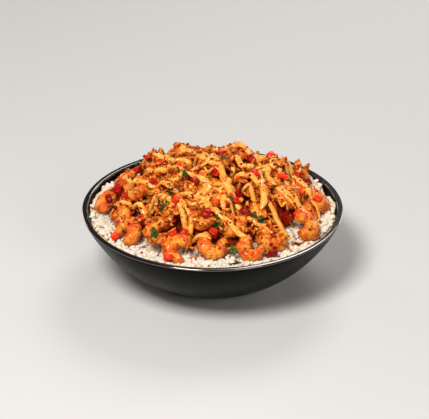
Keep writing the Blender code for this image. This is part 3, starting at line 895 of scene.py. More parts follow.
@dataclass
class Rice:
    """The rice: a packed bed that fills the bowl, and loose cooked grains on its bank."""

    bowl: Bowl
    top: float = 73 * MM
    dome_radius: float = 134 * MM
    edge_height: float = 50.5 * MM
    edge_heaps: float = 2.0 * MM
    heap_length: float = 17 * MM
    climb_start: float = 80 * MM
    climb: float = 3.2 * MM
    gap: float = 0.3 * MM
    lump_height: float = 0.5 * MM
    lump_length: float = 3 * MM
    under_grains: float = 0.4 * MM
    sides: int = 144
    grain_length: float = 5.5 * MM
    grain_width: float = 3.5 * MM
    grain_count: int = 2100
    grain_zone: tuple[float, float] = (60 * MM, 97 * MM)
    grain_layers: float = 3.2 * MM
    clump_length: float = 7 * MM
    grain_bends: tuple[float, ...] = (0.1, 0.35, 0.6)
    clear_of_toppings: float = 1.0 * MM
    highest_grain: float = 56.3 * MM

    def dome_height(self, radius: float) -> float:
        """Gives the height of the smooth rice dome at a distance from the axis."""
        return self.top - self.dome_radius + math.sqrt(self.dome_radius**2 - radius**2)

    def dome_slope(self, radius: float) -> float:
        """Gives the slope of the dome at a distance from the axis."""
        return math.asin(radius / self.dome_radius)

    def surface_height(self, place: Vector) -> float:
        """Gives the height of the bare rice: the dome, and round it an uneven bank that climbs to the wall.

        Args:
            place: The place, of which the height doesn't count.

        Returns:
            The height.
        """
        flat = Vector((place.x, place.y, 0))
        heap = self.edge_heaps * noise.noise(flat / self.heap_length) * 2
        wall = self.bowl.inner_radius(self.edge_height)
        share = (flat.length - self.climb_start) / (wall - self.climb_start)
        return max(self.dome_height(flat.length), self.edge_height + heap + self.climb * max(0, share))

    def build_bed(self) -> bpy.types.Object:
        """Turns the bed, and shapes its upper face as the bank and dome lie.

        Returns:
            The bed.
        """
        floor = self.bowl.floor + self.gap
        wall = self.bowl.side(self.bowl.ball_radius - self.bowl.wall, floor, self.edge_height, 14)
        outline = [(r - self.gap, z) for r, z in wall]
        edge = outline[-1][0]
        outline += [(r, self.edge_height) for r in spaced(edge - 1 * MM, 4 * MM, 45)]
        obj = turned("rice_core", outline, self.sides)
        for vertex in obj.data.vertices:
            if vertex.co.z > self.edge_height - self.gap:
                lump = self.lump_height * noise.noise(vertex.co / self.lump_length)
                outermost = vertex.co.xy.length > edge - 0.5 * MM
                vertex.co.z = self.surface_height(vertex.co) - self.under_grains + lump
                if outermost:
                    vertex.co.xy *= (self.bowl.inner_radius(vertex.co.z) - self.gap) / vertex.co.xy.length
        smooth_faces(obj)
        # The bed's darker, warmer colour is painted shade between the grains.
        finish_piece(obj, RICE_BED_PAINTED_SHADE.material(), ["rice_bed"])
        return obj

    def model_grain(self, bend: float) -> Kind:
        """Models one grain: a ball that is stretched, made blunt at its ends and bent a little.

        Args:
            bend: How far it bends.

        Returns:
            The grain's kind.
        """
        deselect_all()
        bpy.ops.mesh.primitive_uv_sphere_add(
            segments=8, ring_count=6, radius=0.5, rotation=(0, math.pi / 2, 0)
        )
        obj = bpy.context.object
        apply_place(obj)
        with editing(obj):
            bpy.ops.mesh.select_all(action="SELECT")
            bpy.ops.transform.resize(value=(self.grain_length, self.grain_width, self.grain_width * 0.9))
        curl = obj.modifiers.new("bend", "SIMPLE_DEFORM")
        curl.deform_method = "BEND"
        curl.deform_axis = "Z"
        curl.angle = bend
        apply_modifiers(obj)
        return Kind.of(obj)

    def build_grains(self, bed: bpy.types.Object, toppings: Surface) -> bpy.types.Object:
        """Strews grains over the bank, out to the wall and in under the edge of the heap.

        Args:
            bed: The rice bed.
            toppings: What lies on the rice.

        Returns:
            The grains, joined.
        """
        rng = random.Random("loose grains")
        ground = Surface(bed)
        kinds = [self.model_grain(bend) for bend in self.grain_bends]
        grains = Scatter("rice_grains")
        while len(grains.tones) < self.grain_count:
            radius = math.sqrt(rng.uniform(self.grain_zone[0] ** 2, self.grain_zone[1] ** 2))
            angle = rng.uniform(0, TURN)
            place = polar(radius, angle, 0)
            clump = max(0.1, 0.5 + noise.noise(place / self.clump_length))
            rise = self.grain_layers * (0.2 + rng.random() * clump)
            place.z = ground.height(place.x, place.y) + rise
            room = self.bowl.inner_radius(place.z) - self.grain_width * 0.6
            if place.z > self.highest_grain or radius > room:
                continue
            near = toppings.tree.find_nearest(place, self.clear_of_toppings)[0]
            over = toppings.tree.ray_cast(place, UP)[0]
            if near or (over and over.z - place.z < self.grain_width / 2):
                continue
            turn = tilted(rng.uniform(0, TURN), rng.gauss(0, 0.7), rng.uniform(0, TURN))
            grain = Matrix.Translation(place) @ turn @ Matrix.Scale(rng.uniform(0.85, 1.1), 4)
            kind = rng.choice(kinds)
            corners = kind.placed(grain)
            wall = self.bowl.inner_radius(place.z) - self.gap
            if np.hypot(corners[:, 0], corners[:, 1]).max() < wall:
                grains.add(kind, grain, rng.random())
        obj = grains.join()
        finish_piece(obj, RICE.material(), ["rice_bed"])
        return obj


# The shrimp


@dataclass
class Shrimp:
    """The curled shrimp: rings of them on the rice and on the onion layer."""

    rice: Rice
    curl_radius: float = 7.3 * MM
    body_radius: float = 6.2 * MM
    curl: float = math.radians(285)
    segments: int = 5
    curl_in: float = 0.16
    height_share: float = 0.88
    end_bulge: float = 1.6 * MM
    sides: int = 14
    steps: int = 30
    rings: tuple[tuple[int, float, float, float], ...] = (
        (20, 77 * MM, 3.6 * MM, -15),
        (14, 54 * MM, 2.6 * MM, -32),
        (8, 33 * MM, 2.0 * MM, 52),
        (2, 11 * MM, 0.0, -12),
    )
    leans: tuple[float, ...] = (6, 20, 9, 2)
    kind_count: int = 6
    lumps: tuple[float, float] = (4.5 * MM, 1.7 * MM)
    wrinkles: tuple[float, float] = (1.5 * MM, 0.9 * MM)
    pattern_step: float = 40 * MM

    def body(self, t: float, groove: float) -> float:
        """Gives the body's radius at a share of its length.

        Args:
            t: The share, 0 at the head end.
            groove: How deep the grooves between its segments are.

        Returns:
            The radius.
        """
        taper = (0.72 + 1.5 * t - 1.0 * t * t) if t < 0.3 else 1.08 - 0.72 * (t - 0.3) ** 1.25
        return self.body_radius * taper * (1.03 - groove * self.groove_at(t))

    def groove_at(self, t: float) -> float:
        """Tells how much a place of the body lies in a groove between two segments.

        Args:
            t: The place's share of the length.

        Returns:
            A value from 0 to 1. It rises fast before a groove and falls slowly after it.
        """
        phase = (self.segments * t) % 1
        return max(0.0, (phase - 0.82) / 0.18, 1 - phase / 0.45) ** 1.5

    def model(self, kind: int) -> bpy.types.Mesh:
        """Models one kind: a round end face is extruded along the curl, turned and resized at each step.

        Args:
            kind: The kind's number, which changes its grooves and lumps.

        Returns:
            The shrimp's mesh, lying flat round the origin.
        """
        groove = 0.15 + 0.03 * (kind % 3)
        deselect_all()
        centre, body = self.curl_radius, self.body(0, groove)
        upright = (math.pi / 2, 0, 0)
        bpy.ops.mesh.primitive_circle_add(
            vertices=self.sides, radius=body, location=(centre, 0, 0), rotation=upright
        )
        obj = bpy.context.object
        apply_place(obj)
        with editing(obj):
            bpy.ops.mesh.select_all(action="SELECT")
            for i in range(1, self.steps + 1):
                t = i / self.steps
                angle = self.curl * t
                out = Vector((math.cos(angle), math.sin(angle), 0))
                next_centre = self.curl_radius * (1 - self.curl_in * t)
                next_body = self.body(t, groove)
                bpy.ops.mesh.extrude_region_move()
                turn = -self.curl / self.steps
                bpy.ops.transform.rotate(value=turn, orient_axis="Z", center_override=(0, 0, 0))
                grow = next_body / body
                bpy.ops.transform.resize(value=(grow, grow, grow), center_override=out * centre)
                bpy.ops.transform.translate(value=out * (next_centre - centre))
                centre, body = next_centre, next_body
            bpy.ops.mesh.select_all(action="SELECT")
            bpy.ops.mesh.fill_holes(sides=0)
            bpy.ops.mesh.select_all(action="SELECT")
            bpy.ops.transform.resize(value=(1, 1, self.height_share), center_override=(0, 0, 0))
            bpy.ops.mesh.normals_make_consistent(inside=False)
        self.round_ends(obj)
        # The groove attribute also darkens the colour in the grooves, as painted shade.
        shares = [(math.atan2(v.co.y, v.co.x) % TURN) / self.curl for v in obj.data.vertices]
        grooves = [self.groove_at(min(1.0, share)) for share in shares]
        obj.data.attributes.new("groove", "FLOAT", "POINT").data.foreach_set("value", grooves)
        add_rounding(obj, 1)
        add_relief(obj, *self.lumps)
        add_relief(obj, *self.wrinkles, 1)
        obj.data.transform(Matrix.Translation((kind * self.pattern_step, 0, 0)))
        apply_modifiers(obj)
        obj.data.transform(Matrix.Translation((-kind * self.pattern_step, 0, 0)))
        obj.data.shade_smooth()
        mesh = obj.data
        bpy.data.objects.remove(obj)
        return mesh

    def round_ends(self, obj: bpy.types.Object) -> None:
        """Insets both end faces twice, and pushes them out so that the ends are blunt domes.

        Args:
            obj: The shrimp with its flat end faces.
        """
        ends = [p.index for p in obj.data.polygons if len(p.vertices) == self.sides]
        for index in ends:
            for share in (0.3, 0.35):
                face = obj.data.polygons[index]
                push = face.normal.copy() * self.end_bulge * share
                width = math.sqrt(face.area / math.pi) * share
                for polygon in obj.data.polygons:
                    polygon.select = polygon.index == index
                with editing(obj):
                    bpy.ops.mesh.select_mode(type="FACE")
                    bpy.ops.mesh.inset(thickness=width, depth=0)
                    bpy.ops.transform.translate(value=push)
                    bpy.ops.mesh.select_mode(type="VERT")
                index = next(p.index for p in obj.data.polygons if p.select)

    def turns(self) -> list[tuple[str, float, Matrix]]:
        """Repeats the seeded rule by which the solids lie.

        Returns:
            For each shrimp its node, its size and its turn.
        """
        found = []
        for count, middle, swing, first in self.rings:
            for i in range(count):
                name = f"shrimp_{len(found) + 1:02d}"
                rng = random.Random(name)
                angle = math.radians(first + 360 * i / count + rng.uniform(-4, 4))
                radius = middle + swing * (1 if i % 2 == 0 else -1)
                size, spin = rng.uniform(0.9, 1.08), rng.uniform(0, TURN)
                lean = math.radians(self.leans[i % len(self.leans)])
                found.append((name, size, tilted(angle, self.rice.dome_slope(radius) + lean, spin)))
        return found

    def build(self) -> list[bpy.types.Object]:
        """Copies the kinds to where the solids lie.

        Returns:
            The shrimp.
        """
        kinds = [self.model(kind) for kind in range(self.kind_count)]
        pieces = []
        for i, (node, size, turn) in enumerate(self.turns()):
            mesh = kinds[i % self.kind_count].copy()
            mesh.transform(turn @ Matrix.Scale(size, 4))
            corners = np.array([v.co for v in mesh.vertices])
            low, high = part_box(node)
            shift = (low + high) / 2 - Vector((corners.min(0) + corners.max(0)) / 2)
            mesh.transform(Matrix.Translation(shift))
            obj = bpy.data.objects.new(f"glazed_{node}", mesh)
            bpy.context.scene.collection.objects.link(obj)
            finish_piece(obj, SHRIMP.material(), [node])
            pieces.append(obj)
        return pieces


# The diced pepper


@dataclass
class Pepper:
    """The diced red pepper: soft-edged blocks, each in the frame of its solid."""

    count: int = 13
    softness: float = 0.8 * MM
    lumps: tuple[float, float] = (3.5 * MM, 1.4 * MM)
    crimson_every: int = 3

    def block_frame(self, node: str) -> Matrix:
        """Reads the frame and the three sides of a block from its solid's largest faces.

        Args:
            node: The solid's name.

        Returns:
            The matrix that takes a unit cube to the block.
        """
        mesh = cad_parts[node].data
        faces = sorted(mesh.polygons, key=lambda p: p.area, reverse=True)
        first = faces[0].normal.copy()
        second = next(p.normal.copy() for p in faces if abs(p.normal.dot(first)) < 0.1)
        second = (second - first * second.dot(first)).normalized()
        axes = (first, second, first.cross(second))
        corners = [v.co for v in mesh.vertices]
        spans = [[min(c.dot(a) for c in corners), max(c.dot(a) for c in corners)] for a in axes]
        middle = sum((a * (low + high) / 2 for a, (low, high) in zip(axes, spans)), Vector())
        columns = [a * (high - low) for a, (low, high) in zip(axes, spans)]
        return Matrix([[*(c[row] for c in columns), middle[row]] for row in range(3)] + [[0, 0, 0, 1]])

    def middles(self) -> list[Vector]:
        """Gives the middles of the blocks."""
        return [(low + high) / 2 for low, high in (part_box(f"pepper_{i + 1:02d}") for i in range(self.count))]

    def build(self) -> list[bpy.types.Object]:
        """Models each block: a cube, beveled, rounded by subdivision and made uneven.

        Returns:
            The blocks.
        """
        pieces = []
        for i in range(self.count):
            node = f"pepper_{i + 1:02d}"
            matrix = self.block_frame(node)
            deselect_all()
            bpy.ops.mesh.primitive_cube_add(size=1)
            obj = bpy.context.object
            obj.name = f"diced_{node}"
            obj.data.transform(matrix)
            with editing(obj):
                bpy.ops.mesh.select_all(action="SELECT")
                bpy.ops.mesh.subdivide(number_cuts=1)
                bpy.ops.mesh.normals_make_consistent(inside=False)
            soften = obj.modifiers.new("soft edges", "BEVEL")
            soften.width = self.softness
            soften.segments = 2
            soften.limit_method = "ANGLE"
            add_rounding(obj, 2)
            add_relief(obj, *self.lumps, 1)
            apply_modifiers(obj)
            obj.data.shade_smooth()
            look = CRIMSON_PEPPER if i % self.crimson_every == 1 else RED_PEPPER
            finish_piece(obj, look.material(), [node])
            pieces.append(obj)
        return pieces


# The onion layer, its shreds, the sauce, herb and crumbs


class Strip(Enum):
    """How a strip of fried onion curls: how far it bends, about which axis, and how far it twists."""

    FLAT = (0.7, "Z", 0.5)
    BOWED = (1.9, "Z", 1.2)
    LIFTED = (1.7, "Y", 0.8)
    HOOKED = (3.2, "Z", 0.9)
    CURLED = (4.9, "Z", 1.5)


@dataclass
class Onion:
    """The fried onion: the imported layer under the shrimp, and shreds strewn over the heap."""

    rice: Rice
    radius: float = 66 * MM
    lift: float = 1.4 * MM
    search_height: float = 14 * MM
    edge_blend: float = 4 * MM
    bed_lumps: tuple[float, float] = (3.0 * MM, 2.2 * MM)
    bed_taper: float = 0.97
    bed_depth: float = 1.0 * MM
    shred_layers: tuple[tuple[int, float], ...] = ((300, 84 * MM), (180, 62 * MM), (110, 46 * MM))
    top_layers: tuple[tuple[int, float], ...] = ((150, 70 * MM),)
    shred_length: tuple[float, float] = (6 * MM, 15 * MM)
    shred_width: tuple[float, float] = (1.3 * MM, 2.4 * MM)
    shred_thickness: float = 1.5 * MM
    shred_sides: int = 6
    shred_cuts: int = 5
    shred_lumps: tuple[float, float] = (1.5 * MM, 0.6 * MM)
    ragged_length: float = 2.2 * MM
    ragged_share: float = 0.35
    kinds_each: int = 3
    rolls: tuple[float, ...] = (0, 0, 0.5, -0.5, 1.3)
    highest: float = 98.7 * MM
    clear_of_dice: float = 5.5 * MM

    def build_bed(self) -> bpy.types.Object:
        """Cuts the cap from a ball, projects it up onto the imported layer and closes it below.

        Returns:
            The onion bed.
        """
        deselect_all()
        lowest = self.rice.dome_height(self.radius) + self.lift
        middle = self.rice.top - self.rice.dome_radius + self.lift
        bpy.ops.mesh.primitive_ico_sphere_add(
            subdivisions=7, radius=self.rice.dome_radius, location=(0, 0, middle)
        )
        obj = bpy.context.object
        obj.name = "onion_bed"
        apply_place(obj)
        with editing(obj):
            bpy.ops.mesh.select_all(action="SELECT")
            bpy.ops.mesh.bisect(plane_co=(0, 0, lowest), plane_no=(0, 0, 1), clear_inner=True)
        layer = Surface(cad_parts["onion_mix"])
        for vertex in obj.data.vertices:
            start = vertex.co + UP * 0.2 * MM
            hit = layer.tree.ray_cast(start, UP, self.search_height)[0]
            inward = min(1.0, max(0.0, (self.radius - vertex.co.xy.length) / self.edge_blend))
            if hit:
                vertex.co.z += (hit.z - vertex.co.z) * inward
        for _ in range(2):
            smooth = obj.modifiers.new("settle", "SMOOTH")
            smooth.factor = 0.5
            apply_modifiers(obj)
        add_relief(obj, *self.bed_lumps, 3)
        apply_modifiers(obj)
        with editing(obj):
            bpy.ops.mesh.select_all(action="DESELECT")
            bpy.ops.mesh.select_non_manifold()
            bpy.ops.mesh.extrude_region_move()
            bpy.ops.transform.resize(value=(self.bed_taper, self.bed_taper, 1), center_override=(0, 0, 0))
            bpy.ops.transform.translate(value=(0, 0, -self.bed_depth))
            bpy.ops.mesh.edge_face_add()
            bpy.ops.mesh.select_all(action="SELECT")
            bpy.ops.mesh.normals_make_consistent(inside=False)
        obj.data.shade_smooth()
        # The bed's very dark colour is partly the onion's own and partly painted shade between the shrimp.
        finish_piece(obj, ONION_BED_PAINTED_SHADE.material(), ["onion_mix"])
        return obj

    def model_strip(self, curl: Strip, rng: random.Random) -> Kind:
        """Models one strip: a six-sided bar with ragged sides and narrow ends that is twisted and bent.

        Args:
            curl: How it bends and twists.
            rng: The draws of its sizes.

        Returns:
            The strip's kind.
        """
        length, width = rng.uniform(*self.shred_length), rng.uniform(*self.shred_width)
        deselect_all()
        bpy.ops.mesh.primitive_cylinder_add(
            vertices=self.shred_sides, radius=0.5, depth=1, rotation=(TURN / 4, 0, TURN / 4)
        )
        obj = bpy.context.object
        apply_place(obj)
        with editing(obj):
            bpy.ops.mesh.select_all(action="SELECT")
            bpy.ops.transform.resize(value=(length, width, self.shred_thickness))
            bpy.ops.mesh.select_mode(type="EDGE")
            bpy.ops.mesh.select_all(action="DESELECT")
        for edge in obj.data.edges:
            edge.select = self.runs_along(obj, edge)
        with editing(obj):
            bpy.ops.mesh.subdivide(number_cuts=self.shred_cuts)
            bpy.ops.mesh.select_mode(type="VERT")
        for vertex in obj.data.vertices:
            end = abs(vertex.co.x) / length * 2
            place = Vector((vertex.co.x / self.ragged_length, rng.random(), vertex.co.y * 300))
            vertex.co.y *= (1 + self.ragged_share * noise.noise(place)) * (1.1 - 0.5 * end**4)
        bend, bend_axis, twist = curl.value
        for method, axis, angle in (("TWIST", "X", twist), ("BEND", bend_axis, bend)):
            deform = obj.modifiers.new(method, "SIMPLE_DEFORM")
            deform.deform_method = method
            deform.deform_axis = axis
            deform.angle = angle
        add_relief(obj, *self.shred_lumps, 1)
        apply_modifiers(obj)
        kind = Kind.of(obj)
        kind.corners -= (kind.corners.min(0) + kind.corners.max(0)) / 2
        return kind

    @staticmethod
    def runs_along(obj: bpy.types.Object, edge: bpy.types.MeshEdge) -> bool:
        """Tells whether an edge runs along X."""
        a, b = (obj.data.vertices[i].co for i in edge.vertices)
        return abs(a.x - b.x) > abs(a.y - b.y) + abs(a.z - b.z)

    def build_shreds(
        self,
        name: str,
        layers: Sequence[tuple[int, float]],
        heap: Sequence[bpy.types.Object],
        dice: Sequence[Vector],
    ) -> bpy.types.Object:
        """Strews the strips over the heap in layers.

        Args:
            name: The name of the joined piece.
            layers: For each layer how many strips it has, and how far out they lie.
            heap: The pieces on which they come to rest.
            dice: The middles of the diced pepper, which stays in sight.

        Returns:
            The shreds, joined.
        """
        rng = random.Random(name)
        kinds = [self.model_strip(curl, rng) for curl in Strip for _ in range(self.kinds_each)]
        shreds = Scatter(name)
        for count, zone in layers:
            ground = Surface(*heap, extra=shreds)
            for _ in range(count):
                radius, angle = zone * math.sqrt(rng.random()), rng.uniform(0, TURN)
                place = polar(radius, angle, DROP_HEIGHT)
                turn = tilted(angle, self.rice.dome_slope(radius) + rng.gauss(0, 0.3), rng.uniform(0, TURN))
                roll = Matrix.Rotation(rng.choice(self.rolls), 4, "X")
                kind = rng.choice(kinds)
                size = Matrix.Scale(rng.uniform(0.8, 1.15), 4)
                if min((place.xy - die.xy).length for die in dice) < self.clear_of_dice:
                    continue
                matrix = ground.settle(kind, Matrix.Translation(place) @ turn @ roll @ size, 0.25, 0.3 * MM)
                if kind.placed(matrix)[:, 2].max() < self.highest:
                    shreds.add(kind, matrix, rng.random())
        obj = shreds.join()
        finish_piece(obj, ONION.material(), ["onion_mix"])
        return obj


@dataclass
class Sauce:
    """The creamy sauce: a thick thread that crosses the heap in slanting passes, and thinner drizzle."""

    width: float = 4.9 * MM
    thin_from: float = 50 * MM
    thin_share: float = 0.2
    flatness: float = 0.7
    step: float = 9.4 * MM
    parts: int = 8
    slant: float = math.radians(-40)
    spacing: float = 19.5 * MM
    passes: int = 7
    reach: float = 76 * MM
    wobble: float = 4.5 * MM
    sway_length: float = 24 * MM
    sunk: float = 1.8 * MM
    feelers: int = 6
    tautness: int = 9
    lumps: tuple[float, float] = (5 * MM, 1.0 * MM)
    highest: float = 95.8 * MM
    drizzle_count: int = 56
    drizzle_width: tuple[float, float] = (2.6 * MM, 4.4 * MM)
    drizzle_length: tuple[float, float] = (14 * MM, 46 * MM)
    drizzle_step: float = 6 * MM
    drizzle_zone: float = 80 * MM
    drizzle_reach: float = 83 * MM

    def passes_over_heap(self) -> list[list[Vector]]:
        """Repeats the solid's rule for where the thread crosses the heap, seen from above.

        Returns:
            For each pass the places of its bends. The thread is torn where it turned back beside the heap.
        """
        along = Vector((math.cos(self.slant), math.sin(self.slant), 0))
        across = Vector((-along.y, along.x, 0))
        passes = []
        for k in range(self.passes):
            offset = (k - (self.passes - 1) / 2) * self.spacing
            half = math.sqrt(self.reach**2 - offset**2)
            side = 1 if k % 2 == 0 else -1
            stretch = []
            for s in spaced(-half, half, round(2 * half / self.step)):
                sway = self.wobble * noise.noise(Vector((s / self.sway_length, k * 3.7, 0)))
                stretch.append(along * s * side + across * (offset + sway))
            passes.append(stretch)
        return passes

    def rounded(self, points: list[Vector]) -> list[Vector]:
        """Rounds the bends of a line with a curve through its points.

        Args:
            points: The line's bends.

        Returns:
            Places close together along the rounded line.
        """
        padded = [points[0], *points, points[-1]]
        places = []
        for a, b, c, d in zip(padded, padded[1:], padded[2:], padded[3:]):
            for i in range(self.parts):
                t = i / self.parts
                square = (2 * a - 5 * b + 4 * c - d) * t**2
                cube = (3 * b - a - 3 * c + d) * t**3
                places.append(0.5 * (2 * b + (c - a) * t + square + cube))
        return places

    def drape(self, places: list[Vector], width: float, heap: Surface) -> None:
        """Lays a line on the heap: it rests on what is highest and hangs taut between, as thick sauce does.

        Args:
            places: The line, whose heights are set.
            width: How wide the thread is.
            heap: What it lies on.
        """
        rest = []
        for place in places:
            tops = [heap.height(place.x, place.y)]
            for i in range(self.feelers):
                near = place + polar(width * 0.3, TURN * i / self.feelers, 0)
                tops.append(heap.height(near.x, near.y) - 0.4 * MM)
            rest.append(min(self.highest, max(tops) + width / 2 * self.flatness - self.sunk))
        heights = list(rest)
        for i in range(self.tautness):
            padded = [heights[0], *heights, heights[-1]]
            heights = [(a + b + c) / 3 for a, b, c in zip(padded, padded[1:], padded[2:])]
            if i < self.tautness - 2:
                heights = [max(low, height) for low, height in zip(rest, heights)]
        for place, height in zip(places, heights):
            place.z = height

    def lay(self, curve: bpy.types.Curve, places: list[Vector], width: float, seed: float) -> None:
        """Adds a thread to a curve. It swells and thins along its length, and its ends are drawn out.

        Args:
            curve: The curve.
            places: The middle of the thread.
            width: How wide the thread is.
            seed: A number that changes where it swells.
        """
        spline = curve.splines.new("POLY")
        spline.points.add(len(places) - 1)
        for i, (point, place) in enumerate(zip(spline.points, places)):
            point.co = (*place, 1)
            swell = 1 + 0.5 * noise.noise(Vector((i * 0.13, seed, 0)))
            swell += 0.12 * noise.noise(Vector((i * 0.5, seed, 5)))
            outward = min(1, max(0, (place.xy.length - self.thin_from) / (self.reach - self.thin_from)))
            ends = min(1, 0.4 + 0.15 * min(i, len(places) - 1 - i))
            point.radius = width / 2 * swell * ends * (1 - self.thin_share * outward)

    def drizzle_line(self, rng: random.Random) -> list[Vector]:
        """Draws where one strand of thin drizzle lies, seen from above.

        Args:
            rng: The draws.

        Returns:
            The places of its bends.
        """
        heading = self.slant + rng.gauss(0, 0.3)
        length = rng.uniform(*self.drizzle_length)
        middle = polar(self.drizzle_zone * math.sqrt(rng.random()), rng.uniform(0, TURN), 0)
        points = []
        for i in range(max(4, round(length / self.drizzle_step))):
            points.append(Vector((math.cos(heading), math.sin(heading), 0)) * self.drizzle_step * i)
            heading += rng.gauss(0, 0.22)
        shift = middle - points[len(points) // 2]
        return [point + shift for point in points if (point + shift).length < self.drizzle_reach]

    def build(self, heap: Surface) -> list[bpy.types.Object]:
        """Draws the thread and the drizzle as curves with a flattened section, and makes them meshes.

        Args:
            heap: What they lie on.

        Returns:
            The thread and the drizzle.
        """
        rng = random.Random("drizzle")
        thread = [(self.rounded(stretch), self.width) for stretch in self.passes_over_heap()]
        drizzle = []
        for _ in range(self.drizzle_count):
            drizzle.append((self.rounded(self.drizzle_line(rng)), rng.uniform(*self.drizzle_width)))
        pieces = []
        for name, strands in (("sauce_thread", thread), ("sauce_drizzle", drizzle)):
            deselect_all()
            bpy.ops.curve.primitive_bezier_circle_add(radius=1)
            section = bpy.context.object
            bpy.ops.object.mode_set(mode="EDIT")
            bpy.ops.transform.resize(value=(1, self.flatness, 1))
            bpy.ops.object.mode_set(mode="OBJECT")
            section.data.resolution_u = 3
            curve = bpy.data.curves.new(name, "CURVE")
            curve.dimensions = "3D"
            curve.bevel_mode = "OBJECT"
            curve.bevel_object = section
            curve.use_fill_caps = True
            curve.twist_mode = "Z_UP"
            for seed, (places, width) in enumerate(strands):
                self.drape(places, width, heap)
                self.lay(curve, places, width, seed * 7.3)
            obj = bpy.data.objects.new(name, curve)
            bpy.context.scene.collection.objects.link(obj)
            take(obj)
            bpy.ops.object.convert(target="MESH")
            obj = bpy.context.object
            bpy.data.objects.remove(section)
            add_relief(obj, *self.lumps, 1)
            apply_modifiers(obj)
            obj.data.shade_smooth()
            finish_piece(obj, SAUCE.material(), ["onion_mix"])
            pieces.append(obj)
        return pieces


